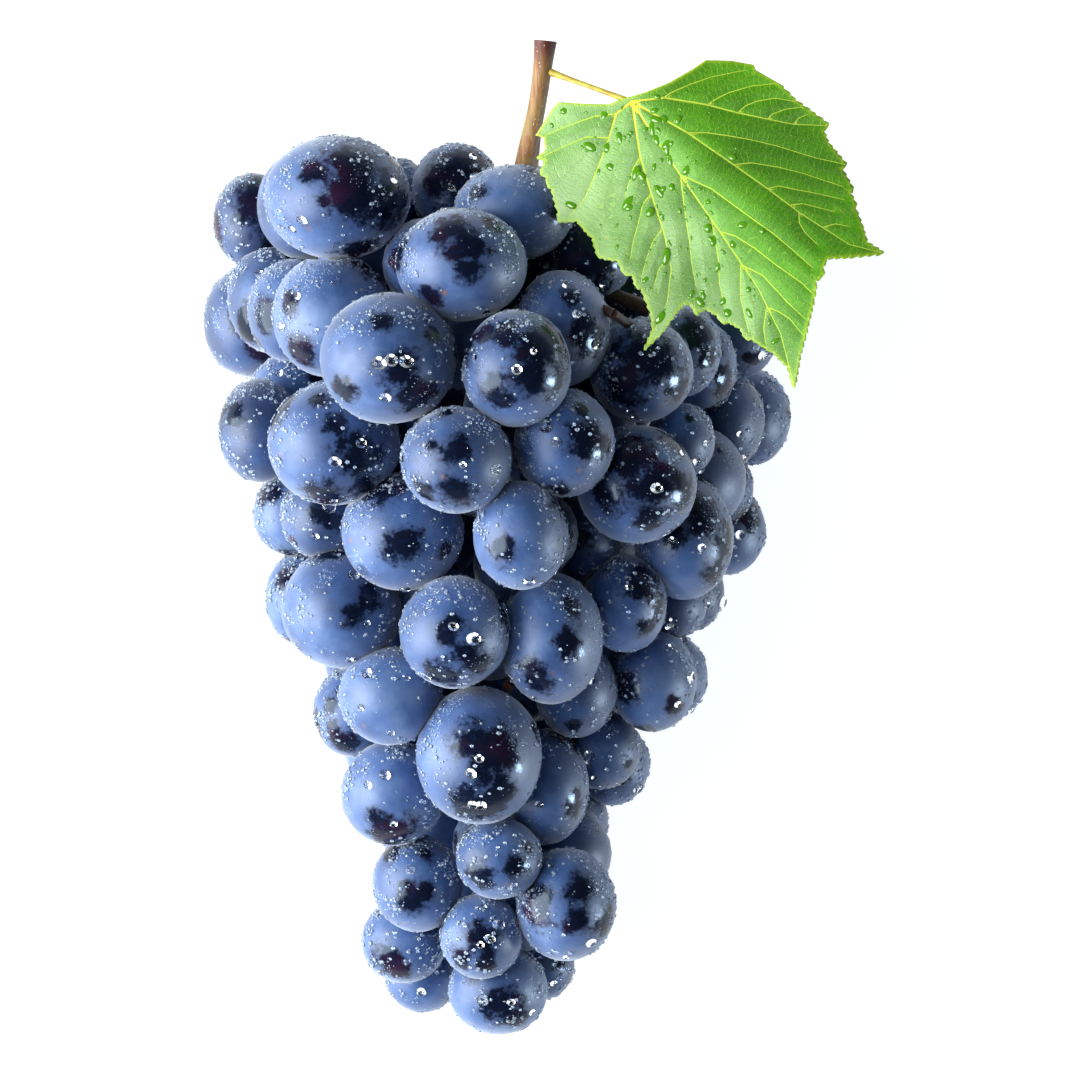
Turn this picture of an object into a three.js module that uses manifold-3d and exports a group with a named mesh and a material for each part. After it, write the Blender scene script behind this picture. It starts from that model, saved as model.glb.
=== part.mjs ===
// A bunch of blue-black table grapes lying on its back on a level surface, with one vine leaf.
// Millimetres, +Z up, +Y towards the cut end of the stalk, +X to the right as the bunch is seen from above.
// The surface is the plane z = 0, and the origin is the middle of the footprint on it.
import * as THREE from "three";
import { mergeVertices } from "three/addons/utils/BufferGeometryUtils.js";
import Module from "manifold-3d";

const wasm = await Module();
wasm.setup();

// Driving dimensions of the bunch
const SHOULDER_HEIGHT = 80;        // height of the topmost berry centres in the broad part
const TIP_HEIGHT = 36;             // the same at the tip
const TAPER_START = 14;            // the bunch has its full width and depth above this y
const TIP_Y = -92;                 // the last berries sit about here
const TOP_Y = 70;                  // and the first ones here
const AXIS_X = -6;                 // the stalk runs down the bunch at this x
const HALF_WIDTH = 48;             // from the axis to the outermost berry centres in the broad part
const TIP_HALF_WIDTH = 14;         // the same at the tip
const TOP_ROUNDING = 0.6;          // how much the crown drops for each millimetre past the shoulder
const SHOULDER_Y = 44;             // where it starts to drop towards the stalk
const ROUNDING = 0.4;              // how boldly the face of the bunch is crowned, 0.5 being an ellipse
const SQUEEZE = 0.9;               // neighbouring berries press into each other by a tenth
const FLAT_DEPTH = 0.7;            // a berry on the surface is flattened by this much
const FACET_SWELL = 1.035;         // a faceted berry's corners stand out, so that its mean size is true
const HIDDEN_RADIUS = 11;          // the largest berries at the back and the sides
const HIDDEN_LEAST = 8.2;          // the smallest, which fill what room is left
const HIDDEN_SQUEEZE = 0.85;       // and how far they press in
const SETTLE = 6;                  // one that comes this near the surface lies on it
const FINE_BERRIES = 24;           // so many of the face berries have small facets
const PLAIN_SWELL = 1.05;          // the others' are broader, so their corners stand out further
const HIDDEN_LENGTH = 1.06;        // their length against their width
const HIDDEN_TRIES = 8000;
const HIDDEN_DEPTH = 0.86;         // the innermost of them, against the outermost
const HIDDEN_RISE = 0.12;          // how far up the sides they go, in half turns above the middle
const COVER_POINTS = 12;           // their outline is tried at so many points
const COVER_INSET = 0.9;           // this far out from the middle
const COVER_MARGIN = 2;            // and may pass the outlines of those that face up by this much
const CORE_SHARE = 0.7;            // the hidden core's half-width and half-depth against the bunch's
const CORE_END = 9;                // how far it stops short of the first and last berries
const CORE_SIDES = [14, 10];       // its facets round and along
const PLAIN_SIDES = [6, 5];        // those of a broad-faceted berry
const SLAB = [400, 400, 200];      // all that is above the surface
const CLEARANCE = 0.4;             // room between the stalk and the berries
const SEED = 41;

// The berries that face up, from the nearest to the deepest, so that each lies over those after it.
// Each row is x, y, half the width and half the length.
const FACE_BERRIES = [
  [-30, 36, 13.6, 13], [-4.6, 34, 10.8, 11.6], [-12.2, -43, 12.6, 13.8], [-15.6, 54.7, 13, 11.2],
  [-16.6, 15.9, 11, 10.6], [-17, -18.3, 11, 11.2], [4.8, 19.3, 10, 10.8], [19.2, 11.1, 12, 11.8],
  [-11.8, -79.5, 8.2, 8.6], [-24.6, -68.9, 9, 9.8], [-40.4, 68.3, 14.6, 12.4], [-41, 19.3, 13.2, 12.4],
  [-27.4, 1.7, 12.2, 11.8], [-3.8, 0.9, 9.4, 10.8], [2.2, -19.5, 10.4, 13.2], [-41.4, 44.7, 12, 12.4],
  [4.2, 42.1, 9.8, 11.6], [-39.6, -13.7, 12, 12], [-5.2, 65.3, 12, 9.6], [17, -12.7, 8.4, 9.8],
  [28.8, 0.5, 10, 12.6], [-29.8, -31.1, 10.4, 9.8], [7.2, -30.1, 8.2, 9.6], [1, -49.5, 8.8, 11.6],
  [-8.2, -63.7, 8.6, 8.2], [-27.4, -80.9, 8.6, 8.4], [-8.4, -90.5, 10, 9.2], [5.2, -73.1, 10, 11.4],
  [20.2, 33.9, 10.4, 10.4], [-49.8, 45.9, 8.8, 10.4], [22.6, -28.1, 8.8, 10.4], [-29.4, -50.7, 10.4, 10.6],
  [12.2, -42.1, 8, 8], [-43.4, 4.9, 8.4, 8.8], [8.8, -0.1, 7.6, 8.8], [29, 37.9, 7.2, 9],
  [32.2, 34.9, 7.4, 9.4], [28.2, 19.9, 6.8, 7.6], [37.6, 24.3, 7.8, 9.8], [-54.2, 48.7, 8.8, 11],
  [-56.2, 21.9, 8.2, 10.4], [-49.8, 28.9, 8.8, 8.8], [-47.2, -11.7, 8, 9.6], [-37.4, -34.5, 8, 9.2],
  [-50, 5.3, 7.6, 8.4], [-16.8, 69.9, 8.8, 9.6], [9.2, 56.9, 9.6, 9], [14.6, 48.9, 8.4, 8.4],
  [26.2, -27.5, 7.6, 8.8], [14.6, -45.3, 7.6, 8.4], [5.8, -56.7, 8, 9.2], [36, 10.5, 7.2, 8],
  [37.8, 1.9, 8, 9], [26.6, -13.1, 6.8, 6.8], [29.8, -10.5, 7.4, 8], [42.8, 24.9, 8, 9.8],
  [39.4, 40.9, 8.4, 8.4], [-58.6, 44.3, 9.6, 11.4], [-58, 64.5, 8, 9.6], [-28.8, 67.9, 8, 8.8],
  [0.2, -86.1, 6.8, 6.8], [-23.8, -87.7, 7.6, 8],
];

// Driving dimensions of the stalk
const STALK_ROUTE = [              // x, y, z and half-thickness, from the cut end down
  [1.1, 99.5, 60, 2.3], [0.8, 96.5, 60, 1.9], [-0.2, 87.7, 59, 1.7], [-1.7, 81.5, 57.5, 1.8],
  [-2.8, 74, 54.5, 2.6], [-5, 60, 48, 2.5], [-6, 40, 45, 2.3], [-6, 15, 42, 2.1],
  [-6, -15, 35, 1.9], [-7, -45, 28, 1.6], [-8, -68, 22, 1.2],
];
const STALK_SIDES = 8;
const STALK_STEPS = 14;
const TWIG_SIDES = 4;
const TWIG_STEPS = 2;
const LATERAL_THICKNESS = 1.2;     // half of it
const PEDICEL_THICKNESS = 0.9;
const TWIG_BOW = 0.05;             // how far a twig arches upwards, against its length
const TWIG_SINK = 6;               // how far a berry's own stalk reaches into it
const LONGEST_PEDICEL = 18;
// Side branches: how far down the stalk each leaves it, from 0 to 1, and where it ends
const LATERALS = [
  [0.36, [-26, 54, 54]], [0.38, [22, 46, 52]], [0.5, [-34, 34, 50]], [0.55, [10, 30, 56]],
  [0.6, [-30, 8, 44]], [0.64, [18, 4, 42]], [0.76, [8, -22, 40]], [0.78, [-26, -24, 36]],
  [0.88, [-16, -50, 34]],
];

// Driving dimensions of the leaf
const LEAF_JUNCTION = [18.2, 87.1];    // where the leaf stalk meets the blade and the main veins part
const LEAF_THICKNESS = 0.8;
const LEAF_GAP = 0.9;                  // room between the blade and the berries it lies over
const LEAF_MIDDLE = [41, 73];          // the facets of the blade fan out from here
const LEAF_RINGS = [0.36, 0.7, 1];
const LEAF_CREASE = -0.79;             // direction of the crease from the junction, in radians from +X
const LEAF_LEFT_SLOPE = 0.1;           // how the blade falls away on either side of the crease
const LEAF_RIGHT_SLOPE = 0.4;
const LEAF_BEND = 4;                   // the crease is rounded over this width
const LEAF_TOP_SLOPE = 0.18;           // how the blade falls from its middle back to the leaf stalk
const LEAF_TOP_REACH = 20;             // and how far from the leaf stalk that starts
const LEAF_WAVE = 1.3;                 // height of the waves at the edge
const LEAF_WAVES = 7;
const LEAF_WAVE_REACH = 40;            // they have their full height this far from the junction
const PETIOLE_THICKNESS = 0.5;         // half of it
const PETIOLE_SIDES = 6;
const PETIOLE_STEPS = 8;
const PETIOLE_BOW = 1.5;               // how far it arches upwards
const PETIOLE_START = 0.037;           // how far down the stalk it leaves, from 0 to 1
const PIECE_GAP = 0.3;                 // between pieces that touch
// The toothed edge, clockwise from above the junction
const LEAF_EDGE = [
  [19, 88.4], [21, 89], [25.6, 90.9], [30.4, 93.7], [33, 95.5], [38, 95.4], [42.5, 94.6], [43, 93.5],
  [47.2, 91.1], [50.9, 87.5], [57.6, 82.7], [56.4, 81.5], [57.4, 79.1], [61.1, 74.7], [60, 73.9], [62.4, 69.8],
  [61.8, 69], [63, 66.5], [62.8, 65.9], [64.6, 60.7], [65, 59.2], [68.4, 57], [63.2, 56.4], [57.1, 55.9],
  [56.2, 54.3], [56.3, 52.5], [54.8, 51.4], [54.4, 48.1], [53.4, 43.7], [51.7, 36.9], [50.4, 30.1], [49.2, 34.4],
  [46.4, 37.1], [42.2, 39.8], [40.9, 39.9], [39.8, 42], [37.6, 43.2], [36.2, 43], [35.2, 44.6], [33.1, 45.8],
  [31.7, 45.3], [31.2, 44.5], [30, 46.7], [28.8, 46.9], [26.9, 44.9], [24.4, 41.3], [20.6, 37.7], [22.4, 41.7],
  [22, 45.1], [20.2, 49.7], [19.1, 50.1], [18.4, 52.4], [16.6, 52.8], [15.4, 55.4], [11.5, 56.2], [10.4, 60],
  [8.6, 61.8], [7.4, 63.5], [3.5, 63.2], [3.6, 65.1], [2.3, 69.7], [1.4, 70.4], [1.3, 72], [0, 72.9],
  [1, 75.5], [-0.7, 76.1], [1, 77.5], [0.8, 80], [-0.9, 80.5], [0.7, 83], [2.4, 85.8], [3.8, 87.1],
  [9.2, 86.7], [13.8, 86.6], [15.6, 87.5],
];

// Solids and meshes

function toSolid(geometry) {
  const bare = geometry.clone();
  bare.deleteAttribute("normal");
  bare.deleteAttribute("uv");
  const merged = mergeVertices(bare, 1e-4);
  return new wasm.Manifold(new wasm.Mesh({
    numProp: 3,
    vertProperties: new Float32Array(merged.attributes.position.array),
    triVerts: new Uint32Array(merged.index.array),
  }));
}

function toGeometry(solid) {
  const mesh = solid.getMesh();
  const geometry = new THREE.BufferGeometry();
  geometry.setAttribute("position", new THREE.BufferAttribute(mesh.vertProperties, 3));
  geometry.setIndex(new THREE.BufferAttribute(mesh.triVerts, 1));
  return geometry;
}

function joinAll(solids) {
  return solids.reduce((whole, next) => whole.add(next));
}

// The largest body alone, so that loose scraps are dropped and sealed hollows are filled
function soundBody(solid) {
  return solid.decompose().reduce((best, body) => (body.volume() > best.volume() ? body : best));
}

function seededRandom(seed) {
  let state = seed;
  return () => {
    state = (state * 1664525 + 1013904223) % 4294967296;
    return state / 4294967296;
  };
}

// A closed round rod bent along a curve, as thick at each place as radiusAt says
function rodAlong(curve, radiusAt, sides, steps) {
  const geometry = new THREE.CylinderGeometry(1, 1, 1, sides, steps);
  const frames = curve.computeFrenetFrames(steps, false);
  const position = geometry.attributes.position;
  const point = new THREE.Vector3();
  for (let i = 0; i < position.count; i += 1) {
    const step = Math.round((position.getY(i) + 0.5) * steps);
    const radius = radiusAt(step / steps);
    point.copy(curve.getPointAt(step / steps));
    point.addScaledVector(frames.normals[step], position.getX(i) * radius);
    point.addScaledVector(frames.binormals[step], -position.getZ(i) * radius);
    position.setXYZ(i, point.x, point.y, point.z);
  }
  return geometry;
}

// The form of the bunch

function taper(y) {
  return THREE.MathUtils.clamp((TAPER_START - y) / (TAPER_START - TIP_Y), 0, 1);
}

function bunchHalfWidth(y) {
  return THREE.MathUtils.lerp(HALF_WIDTH, TIP_HALF_WIDTH, taper(y));
}

function crownHeight(y) {
  const drop = TOP_ROUNDING * Math.max(0, y - SHOULDER_Y);
  return THREE.MathUtils.lerp(SHOULDER_HEIGHT, TIP_HEIGHT, taper(y)) - drop;
}

function middleHeight(y) {
  return (crownHeight(y) + HIDDEN_RADIUS) / 2;
}

// The height of the topmost berry centres over a point of the footprint
function faceHeight(x, y) {
  const across = Math.min(1, Math.abs(x - AXIS_X) / bunchHalfWidth(y));
  return middleHeight(y) + (crownHeight(y) - middleHeight(y)) * (1 - across * across) ** ROUNDING;
}

// The berries

function meanRadius(berry) {
  return (berry.a + berry.b + berry.c) / 3;
}

// The height at which a berry rests against the underside of one that is already placed
function heightUnder(berry, placed) {
  const apart = Math.hypot(berry.x - placed.x, berry.y - placed.y);
  const reach = SQUEEZE * (meanRadius(berry) + meanRadius(placed));
  return apart >= reach ? Infinity : placed.z - Math.sqrt(reach * reach - apart * apart);
}

function faceBerries() {
  const placed = [];
  for (const [x, y, a, b] of FACE_BERRIES) {
    const berry = { x, y, a, b, c: (a + b) / 2 };
    const under = placed.map((other) => heightUnder(berry, other));
    berry.z = Math.max(berry.c - FLAT_DEPTH, Math.min(faceHeight(x, y), ...under));
    placed.push(berry);
  }
  return placed;
}

function fits(berry, placed) {
  return placed.every((other) => {
    const apart = Math.hypot(berry.x - other.x, berry.y - other.y, berry.z - other.z);
    return apart >= HIDDEN_SQUEEZE * (meanRadius(berry) + meanRadius(other));
  });
}

// Whether a point of the footprint lies within a berry's outline, grown by a margin
function within(x, y, berry, margin) {
  return Math.hypot((x - berry.x) / (berry.a + margin), (y - berry.y) / (berry.b + margin)) < 1;
}

// Whether a berry stays behind those that face up, its middle under one and its outline within theirs
function covered(berry, shown) {
  if (!shown.some((over) => berry.z < over.z && within(berry.x, berry.y, over, 0))) return false;
  for (let i = 0; i < COVER_POINTS; i += 1) {
    const turn = (2 * Math.PI * i) / COVER_POINTS;
    const x = berry.x + COVER_INSET * berry.a * Math.cos(turn);
    const y = berry.y + COVER_INSET * berry.b * Math.sin(turn);
    if (!shown.some((over) => within(x, y, over, COVER_MARGIN))) return false;
  }
  return true;
}

// Berries round the back and up the sides, each wherever it finds room
function hiddenBerries(shown) {
  const random = seededRandom(SEED);
  const placed = [...shown];
  for (let attempt = 0; attempt < HIDDEN_TRIES; attempt += 1) {
    const radius = THREE.MathUtils.lerp(HIDDEN_RADIUS, HIDDEN_LEAST, attempt / HIDDEN_TRIES);
    const y = THREE.MathUtils.lerp(TIP_Y + CORE_END, TOP_Y, random());
    const turn = -Math.PI * THREE.MathUtils.lerp(-HIDDEN_RISE, 1 + HIDDEN_RISE, random());
    const depth = THREE.MathUtils.lerp(HIDDEN_DEPTH, 1, random());
    const x = AXIS_X + depth * bunchHalfWidth(y) * Math.cos(turn);
    const level = middleHeight(y) + depth * (crownHeight(y) - middleHeight(y)) * Math.sin(turn);
    const lying = radius - FLAT_DEPTH;
    const z = level < lying + SETTLE ? lying : level;
    const berry = { x, y, z, a: radius, b: radius * HIDDEN_LENGTH, c: radius };
    if (covered(berry, shown) && fits(berry, placed)) placed.push(berry);
  }
  return placed.slice(shown.length);
}

function berrySolid(berry, turn, faces) {
  const geometry = faces.clone();
  geometry.rotateZ(turn);
  geometry.scale(berry.a * FACET_SWELL, berry.b * FACET_SWELL, berry.c * FACET_SWELL);
  geometry.translate(berry.x, berry.y, berry.z);
  return toSolid(geometry);
}

// The smaller core that the berries stand out of
function coreSolid() {
  const geometry = new THREE.SphereGeometry(1, ...CORE_SIDES);
  const position = geometry.attributes.position;
  for (let i = 0; i < position.count; i += 1) {
    const blunt = 1 / Math.sqrt(Math.max(Math.hypot(position.getX(i), position.getZ(i)), 1e-6));
    const y = THREE.MathUtils.lerp(TIP_Y + CORE_END, TOP_Y - CORE_END, (position.getY(i) + 1) / 2);
    const halfWidth = blunt * CORE_SHARE * bunchHalfWidth(y);
    const halfDepth = blunt * CORE_SHARE * (crownHeight(y) - middleHeight(y));
    position.setXYZ(
      i,
      AXIS_X + position.getX(i) * halfWidth,
      y,
      middleHeight(y) + position.getZ(i) * halfDepth,
    );
  }
  return toSolid(geometry);
}

// The slab above the surface, which flattens what would dip under it
function aboveSurface() {
  const slab = new THREE.BoxGeometry(...SLAB);
  slab.translate(0, 0, SLAB[2] / 2);
  return toSolid(slab);
}

function berriesGeometry(shown, hidden, channel) {
  const fine = new THREE.IcosahedronGeometry(1, 1);
  const plain = new THREE.SphereGeometry(PLAIN_SWELL, ...PLAIN_SIDES).rotateX(Math.PI / 2);
  const solids = [
    ...shown.map((berry, i) => berrySolid(berry, i, i < FINE_BERRIES ? fine : plain)),
    ...hidden.map((berry, i) => berrySolid(berry, i, plain)),
  ];
  const whole = joinAll([coreSolid(), ...solids]).intersect(aboveSurface());
  return toGeometry(soundBody(soundBody(whole).subtract(channel)));
}

// The stalk

function stalkCurve() {
  return new THREE.CatmullRomCurve3(STALK_ROUTE.map(([x, y, z]) => new THREE.Vector3(x, y, z)));
}

// Half-thickness at a share of the stalk's length, between the route's own values
function stalkRadius(curve, share) {
  const place = curve.getUtoTmapping(share) * (STALK_ROUTE.length - 1);
  const index = Math.min(Math.floor(place), STALK_ROUTE.length - 2);
  return THREE.MathUtils.lerp(STALK_ROUTE[index][3], STALK_ROUTE[index + 1][3], place - index);
}

function twig(from, to, radius, extra) {
  const along = to.clone().sub(from).normalize();
  const end = to.clone().addScaledVector(along, extra);
  const middle = from.clone().lerp(end, 0.5);
  middle.z += from.distanceTo(end) * TWIG_BOW;
  const curve = new THREE.CatmullRomCurve3([from, middle, end]);
  return toSolid(rodAlong(curve, () => radius + extra, TWIG_SIDES, TWIG_STEPS));
}

// Each face berry that a side branch ends near hangs on a short stalk of its own
function pedicelEnds(berries, tips) {
  const ends = [];
  for (const berry of berries) {
    const centre = new THREE.Vector3(berry.x, berry.y, berry.z);
    const nearest = tips.reduce((best, tip) => (
      tip.distanceTo(centre) < best.distanceTo(centre) ? tip : best
    ));
    const reach = nearest.distanceTo(centre);
    if (reach > LONGEST_PEDICEL || reach < meanRadius(berry)) continue;
    const share = (reach - meanRadius(berry) + TWIG_SINK) / reach;
    ends.push([nearest, nearest.clone().lerp(centre, share)]);
  }
  return ends;
}

function stalkSolid(berries, extra) {
  const curve = stalkCurve();
  const main = rodAlong(curve, (share) => stalkRadius(curve, share) + extra, STALK_SIDES, STALK_STEPS);
  const tips = LATERALS.map(([, end]) => new THREE.Vector3(...end));
  const laterals = LATERALS.map(([share], i) => (
    twig(curve.getPointAt(share), tips[i], LATERAL_THICKNESS, extra)
  ));
  const pedicels = pedicelEnds(berries, tips).map(([from, to]) => (
    twig(from, to, PEDICEL_THICKNESS, extra)
  ));
  return soundBody(joinAll([toSolid(main), ...laterals, ...pedicels]));
}

// The leaf

// How far the blade falls below its crease at a point of the footprint
function leafFall(x, y) {
  const dx = x - LEAF_JUNCTION[0];
  const dy = y - LEAF_JUNCTION[1];
  const along = dx * Math.cos(LEAF_CREASE) + dy * Math.sin(LEAF_CREASE);
  const aside = -dx * Math.sin(LEAF_CREASE) + dy * Math.cos(LEAF_CREASE);
  const slope = aside > 0 ? LEAF_RIGHT_SLOPE : LEAF_LEFT_SLOPE;
  const reach = Math.hypot(dx, dy);
  const wave = LEAF_WAVE * Math.sin(LEAF_WAVES * Math.atan2(dy, dx)) * Math.min(1, reach / LEAF_WAVE_REACH) ** 2;
  const bent = Math.hypot(aside, LEAF_BEND) - LEAF_BEND;
  return bent * slope + Math.max(0, LEAF_TOP_REACH - along) * LEAF_TOP_SLOPE - wave;
}

function leafPlaces() {
  const [mx, my] = LEAF_MIDDLE;
  const places = [[mx, my]];
  for (const ring of LEAF_RINGS) {
    for (const [x, y] of LEAF_EDGE) {
      places.push([THREE.MathUtils.lerp(mx, x, ring), THREE.MathUtils.lerp(my, y, ring)]);
    }
  }
  return places;
}

// The blade's crease lies as low as it can with the whole blade clear of the berries
function creaseHeight(berries) {
  let height = 0;
  for (const [x, y] of leafPlaces()) {
    for (const berry of berries) {
      const share = ((x - berry.x) / berry.a) ** 2 + ((y - berry.y) / berry.b) ** 2;
      if (share >= 1) continue;
      const top = berry.z + berry.c * FACET_SWELL * Math.sqrt(1 - share);
      height = Math.max(height, top + leafFall(x, y) + LEAF_GAP + LEAF_THICKNESS);
    }
  }
  return height;
}

function leafGeometry(crease) {
  const places = leafPlaces();
  const count = places.length;
  const edge = LEAF_EDGE.length;
  const positions = [];
  for (const drop of [0, LEAF_THICKNESS]) {
    for (const [x, y] of places) positions.push(x, y, crease - leafFall(x, y) - drop);
  }
  const faces = [];
  for (let k = 0; k < edge; k += 1) {
    const next = (k + 1) % edge;
    faces.push([0, 1 + next, 1 + k]);
    for (let ring = 0; ring < LEAF_RINGS.length - 1; ring += 1) {
      const inner = 1 + ring * edge;
      const outer = inner + edge;
      faces.push([inner + k, inner + next, outer + next], [inner + k, outer + next, outer + k]);
    }
  }
  const indices = [];
  for (const [a, b, c] of faces) {
    indices.push(a, b, c);
    indices.push(count + a, count + c, count + b);
  }
  const rim = 1 + (LEAF_RINGS.length - 1) * edge;
  for (let k = 0; k < edge; k += 1) {
    const next = (k + 1) % edge;
    indices.push(rim + k, rim + next, count + rim + next, rim + k, count + rim + next, count + rim + k);
  }
  const geometry = new THREE.BufferGeometry();
  geometry.setAttribute("position", new THREE.Float32BufferAttribute(positions, 3));
  geometry.setIndex(indices);
  return geometry;
}

function petioleGeometry(crease) {
  const curve = stalkCurve();
  const root = curve.getPointAt(PETIOLE_START);
  const thickness = stalkRadius(curve, PETIOLE_START) + PIECE_GAP;
  const [jx, jy] = LEAF_JUNCTION;
  const underside = crease - leafFall(jx, jy) - LEAF_THICKNESS - PIECE_GAP - PETIOLE_THICKNESS;
  const end = new THREE.Vector3(jx, jy, underside);
  const start = root.clone();
  start.x += thickness;
  const middle = start.clone().lerp(end, 0.5);
  middle.z += PETIOLE_BOW;
  const route = new THREE.CatmullRomCurve3([start, middle, end]);
  return rodAlong(route, () => PETIOLE_THICKNESS, PETIOLE_SIDES, PETIOLE_STEPS);
}

// Finishes

function finish(color, roughness) {
  return new THREE.MeshStandardMaterial({ color, roughness, metalness: 0 });
}

function named(name, geometry, material) {
  const mesh = new THREE.Mesh(geometry, material);
  mesh.name = name;
  return mesh;
}

const shown = faceBerries();
const hidden = hiddenBerries(shown);
const crease = creaseHeight([...shown, ...hidden]);
const group = new THREE.Group();
group.add(
  named("berries", berriesGeometry(shown, hidden, stalkSolid(shown, CLEARANCE)), finish(0x3d5f95, 0.55)),
  named("stalk", toGeometry(stalkSolid(shown, 0)), finish(0x8a6238, 0.8)),
  named("leaf_petiole", petioleGeometry(crease), finish(0xa9b32c, 0.6)),
  named("leaf_blade", leafGeometry(crease), finish(0x55971a, 0.5)),
);

// The origin goes to the middle of the footprint
const box = new THREE.Box3().setFromObject(group);
const centre = box.getCenter(new THREE.Vector3());
group.position.set(-centre.x, -centre.y, 0);

export default group;
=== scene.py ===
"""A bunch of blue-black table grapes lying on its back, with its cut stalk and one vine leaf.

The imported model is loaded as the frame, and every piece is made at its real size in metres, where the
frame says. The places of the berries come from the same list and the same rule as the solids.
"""
from __future__ import annotations

import logging
import math
from dataclasses import dataclass, field
from enum import Enum

import bpy
import numpy as np
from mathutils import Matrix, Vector, geometry, noise

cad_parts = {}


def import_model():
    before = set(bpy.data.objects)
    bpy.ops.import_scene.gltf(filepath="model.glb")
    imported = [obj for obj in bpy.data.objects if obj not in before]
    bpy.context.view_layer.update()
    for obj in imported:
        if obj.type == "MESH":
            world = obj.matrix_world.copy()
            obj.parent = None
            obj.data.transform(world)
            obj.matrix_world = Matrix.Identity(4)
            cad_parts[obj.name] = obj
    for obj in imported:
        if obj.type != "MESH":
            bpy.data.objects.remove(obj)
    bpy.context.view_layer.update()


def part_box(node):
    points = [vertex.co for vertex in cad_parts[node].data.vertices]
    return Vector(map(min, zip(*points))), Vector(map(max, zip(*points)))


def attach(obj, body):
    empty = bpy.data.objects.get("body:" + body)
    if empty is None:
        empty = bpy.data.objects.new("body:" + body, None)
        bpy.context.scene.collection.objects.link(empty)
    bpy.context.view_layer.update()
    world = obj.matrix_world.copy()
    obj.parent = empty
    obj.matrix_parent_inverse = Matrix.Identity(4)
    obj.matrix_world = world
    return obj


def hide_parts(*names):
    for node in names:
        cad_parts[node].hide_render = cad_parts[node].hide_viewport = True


LOG = logging.getLogger("grapes")
MM = 0.001
Row = tuple[float, ...]
Place = tuple[float, float]
Amount = float | np.ndarray
NOISE_SPAN: Place = (0.3, 0.7)
TRIANGLE_HEIGHT = math.sqrt(0.75)
LEAST_LENGTH = 1e-12
MERGE_DISTANCE = 1e-6


# Shader trees


class Wire:
    """An output of a shader tree, on which Python's operators add Math nodes."""

    def __init__(self, tree: "ShaderTree", socket: bpy.types.NodeSocket) -> None:
        """Wraps a socket.

        Args:
            tree: The tree that the socket is in.
            socket: The output socket.
        """
        self.tree = tree
        self.socket = socket

    def maths(self, operation: str, *others: "Wire | float") -> "Wire":
        """Adds one Math node.

        Args:
            operation: The node's operation.
            others: Its second and third values.

        Returns:
            The node's value.
        """
        values = {i: value for i, value in enumerate((self, *others))}
        return self.tree.node("ShaderNodeMath", {"operation": operation}, values)

    def __add__(self, other: "Wire | float") -> "Wire":
        """Adds."""
        return self.maths("ADD", other)

    def __radd__(self, other: float) -> "Wire":
        """Adds, from the other side."""
        return self.maths("ADD", other)

    def __sub__(self, other: "Wire | float") -> "Wire":
        """Subtracts."""
        return self.maths("SUBTRACT", other)

    def __rsub__(self, other: float) -> "Wire":
        """Subtracts this from a number."""
        return (self * -1.0) + other

    def __mul__(self, other: "Wire | float") -> "Wire":
        """Multiplies."""
        return self.maths("MULTIPLY", other)

    def __rmul__(self, other: float) -> "Wire":
        """Multiplies, from the other side."""
        return self.maths("MULTIPLY", other)

    def ramp(self, low: float, high: float, start: float = 0.0, end: float = 1.0) -> "Wire":
        """Maps a smooth step between two values.

        Args:
            low: Where the step starts.
            high: Where it ends.
            start: The result at low.
            end: The result at high.

        Returns:
            The mapped value.
        """
        settings = {"interpolation_type": "SMOOTHSTEP"}
        return self.tree.node("ShaderNodeMapRange", settings, {0: self, 1: low, 2: high, 3: start, 4: end})


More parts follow.
